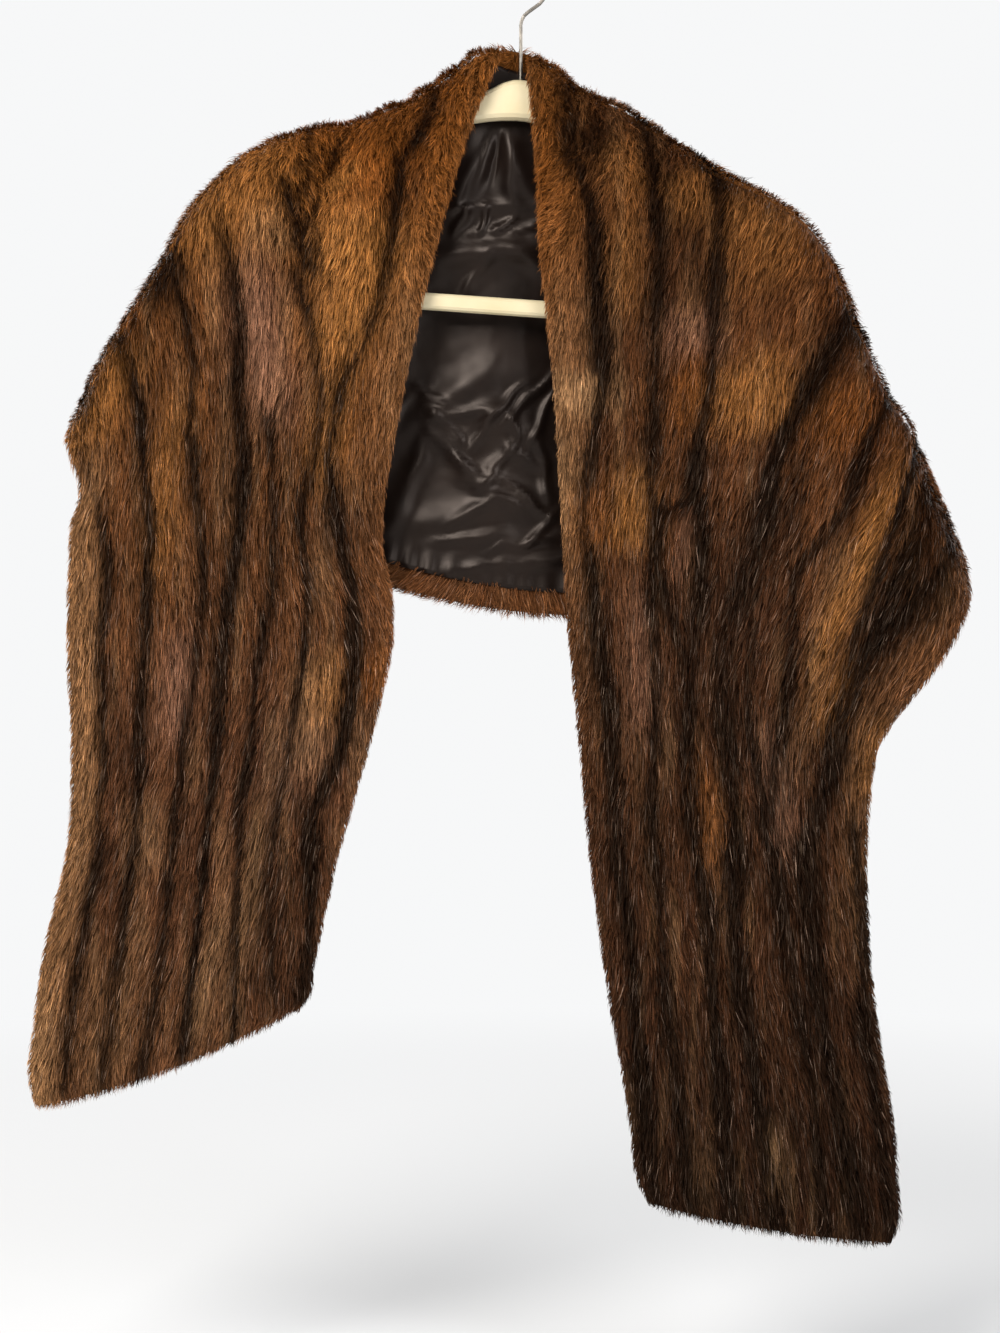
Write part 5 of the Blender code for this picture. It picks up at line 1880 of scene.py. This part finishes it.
def area_light(lamp):
    """A soft rectangular light that is turned to what it lights."""
    data = bpy.data.lights.new(lamp.name, "AREA")
    data.shape = "RECTANGLE"
    data.size, data.size_y = lamp.size
    data.energy = lamp.power
    data.color = lamp.colour
    light = linked(lamp.name, data)
    light.location = lamp.place
    light.rotation_euler = (Vector(lamp.aim) - Vector(lamp.place)).to_track_quat("-Z", "Y").to_euler()


def add_camera():
    """The camera at the photograph's angle: level, and straight at the open fronts."""
    data = bpy.data.cameras.new("camera")
    data.sensor_fit = "AUTO"
    data.sensor_width = SENSOR
    data.lens = SENSOR * (VIEW_DISTANCE + VIEW_PLANE) / VIEW_TALL
    camera = linked("camera", data)
    camera.location = (VIEW_MIDDLE[0], -VIEW_DISTANCE, VIEW_MIDDLE[1])
    camera.rotation_euler = (math.pi / 2, 0, 0)
    bpy.context.scene.camera = camera


def add_stage():
    """A pale floor and soft light from all sides, most of it from above the camera."""
    scene = bpy.context.scene
    scene.view_settings.view_transform = "Standard"
    world = bpy.data.worlds.new("studio")
    world.use_nodes = True
    sky = world.node_tree.nodes["Background"]
    sky.inputs["Color"].default_value = SKY
    sky.inputs["Strength"].default_value = SKY_STRENGTH
    scene.world = world
    add_backdrop()
    add_floor()
    for lamp in LAMPS:
        area_light(lamp)


def add_backdrop():
    """A white globe round the whole studio, which only the camera sees."""
    shape = bmesh.new()
    bmesh.ops.create_uvsphere(shape, u_segments=48, v_segments=24, radius=GLOBE)
    mesh = bpy.data.meshes.new("backdrop")
    shape.to_mesh(mesh)
    shape.free()
    backdrop = linked("backdrop", mesh)
    material = Material("backdrop")
    material.shader.inputs["Base Color"].default_value = (0, 0, 0, 1)
    material.shader.inputs["Specular IOR Level"].default_value = 0
    material.shader.inputs["Emission Color"].default_value = BACKDROP
    material.shader.inputs["Emission Strength"].default_value = 1
    mesh.materials.append(material.made)
    backdrop.visible_diffuse = False
    backdrop.visible_glossy = False
    backdrop.visible_transmission = False
    backdrop.visible_shadow = False


def add_floor():
    """A pale floor that fades into the backdrop far from the stole."""
    mesh = bpy.data.meshes.new("floor")
    turns = np.linspace(0, 2 * np.pi, FLOOR_CORNERS + 1)[:-1]
    ring = [(FLOOR_REACH * math.cos(a), FLOOR_REACH * math.sin(a), FLOOR) for a in turns]
    mesh.from_pydata(ring, [], [tuple(range(len(ring)))])
    floor = linked("floor", mesh)
    material = Material("floor")
    nodes, links, shader = material.nodes, material.links, material.shader
    shader.inputs["Base Color"].default_value = FLOOR_GREY
    shader.inputs["Roughness"].default_value = FLOOR_ROUGHNESS
    glow = nodes.new("ShaderNodeEmission")
    glow.inputs["Color"].default_value = BACKDROP
    away = nodes.new("ShaderNodeVectorMath")
    away.operation = "LENGTH"
    links.new(material.place.outputs["Object"], away.inputs[0])
    fade = nodes.new("ShaderNodeMapRange")
    fade.interpolation_type = "SMOOTHSTEP"
    fade.inputs["From Min"].default_value, fade.inputs["From Max"].default_value = FLOOR_FADE
    links.new(away.outputs["Value"], fade.inputs["Value"])
    blend = nodes.new("ShaderNodeMixShader")
    links.new(fade.outputs["Result"], blend.inputs["Fac"])
    links.new(shader.outputs["BSDF"], blend.inputs[1])
    links.new(glow.outputs["Emission"], blend.inputs[2])
    links.new(blend.outputs["Shader"], nodes["Material Output"].inputs["Surface"])
    mesh.materials.append(material.made)


# The size that each sheet was cut to, in metres: width, length and flat area. Fur and lining are the same.
Cut = namedtuple("Cut", "width length area")
LEFT_CUT = Cut(0.25, 0.72, 0.18)
RIGHT_CUT = Cut(0.24, 0.80, 0.18)
BACK_CUT = Cut(0.46, 0.85, 0.24)


def declare(piece, node, hair=()):
    """Hangs a sheet and the hair on it from the root, and hides the solid that they stand for."""
    for part in (piece, *hair):
        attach(part, "root")
        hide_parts(node)


def main():
    """Loads the frame and dresses it."""
    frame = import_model()
    add_camera()
    add_stage()

    left_fold = ShoulderFold(LEFT_RIDGE)
    right_fold = ShoulderFold(RIGHT_RIDGE)
    left = Front(LEFT_SECTIONS, left_fold, LEFT_FOLDS, -1)
    right = Front(RIGHT_SECTIONS, right_fold, RIGHT_FOLDS, 1)
    back = Back(BACK_SECTIONS, left_fold, right_fold, BACK_FOLDS)

    furs = {ending: fur_material(look) for ending, look in FUR_LOOKS.items()}
    coats = (
        ("left_front", LeftCoat(left), LEFT_CUT),
        ("right_front", RightCoat(right), RIGHT_CUT),
        ("back", BackCoat(back), BACK_CUT),
    )
    for name, coat, cut in coats:
        skin, *hair = cover(name, coat, furs)
        declare(skin, f"fur_{name}", hair)

    satin = two_tone(SATIN)
    shells = (
        ("back", back, LINING_FOLDS, True, BACK_CUT),
        ("left_front", left, LEFT_CREASES, False, LEFT_CUT),
        ("right_front", right, RIGHT_CREASES, False, RIGHT_CUT),
    )
    for name, sheet, folds, creased, cut in shells:
        piece = lining_shell(f"{name}_satin", sheet, folds, creased, satin)
        declare(piece, f"lining_{name}")

    ivory = two_tone(IVORY)
    steel = two_tone(STEEL)
    for node, look in (("hanger_body", ivory), ("hanger_bar", ivory), ("hanger_hook", steel)):
        frame["nodes"][node].material_slots[0].material = look


main()
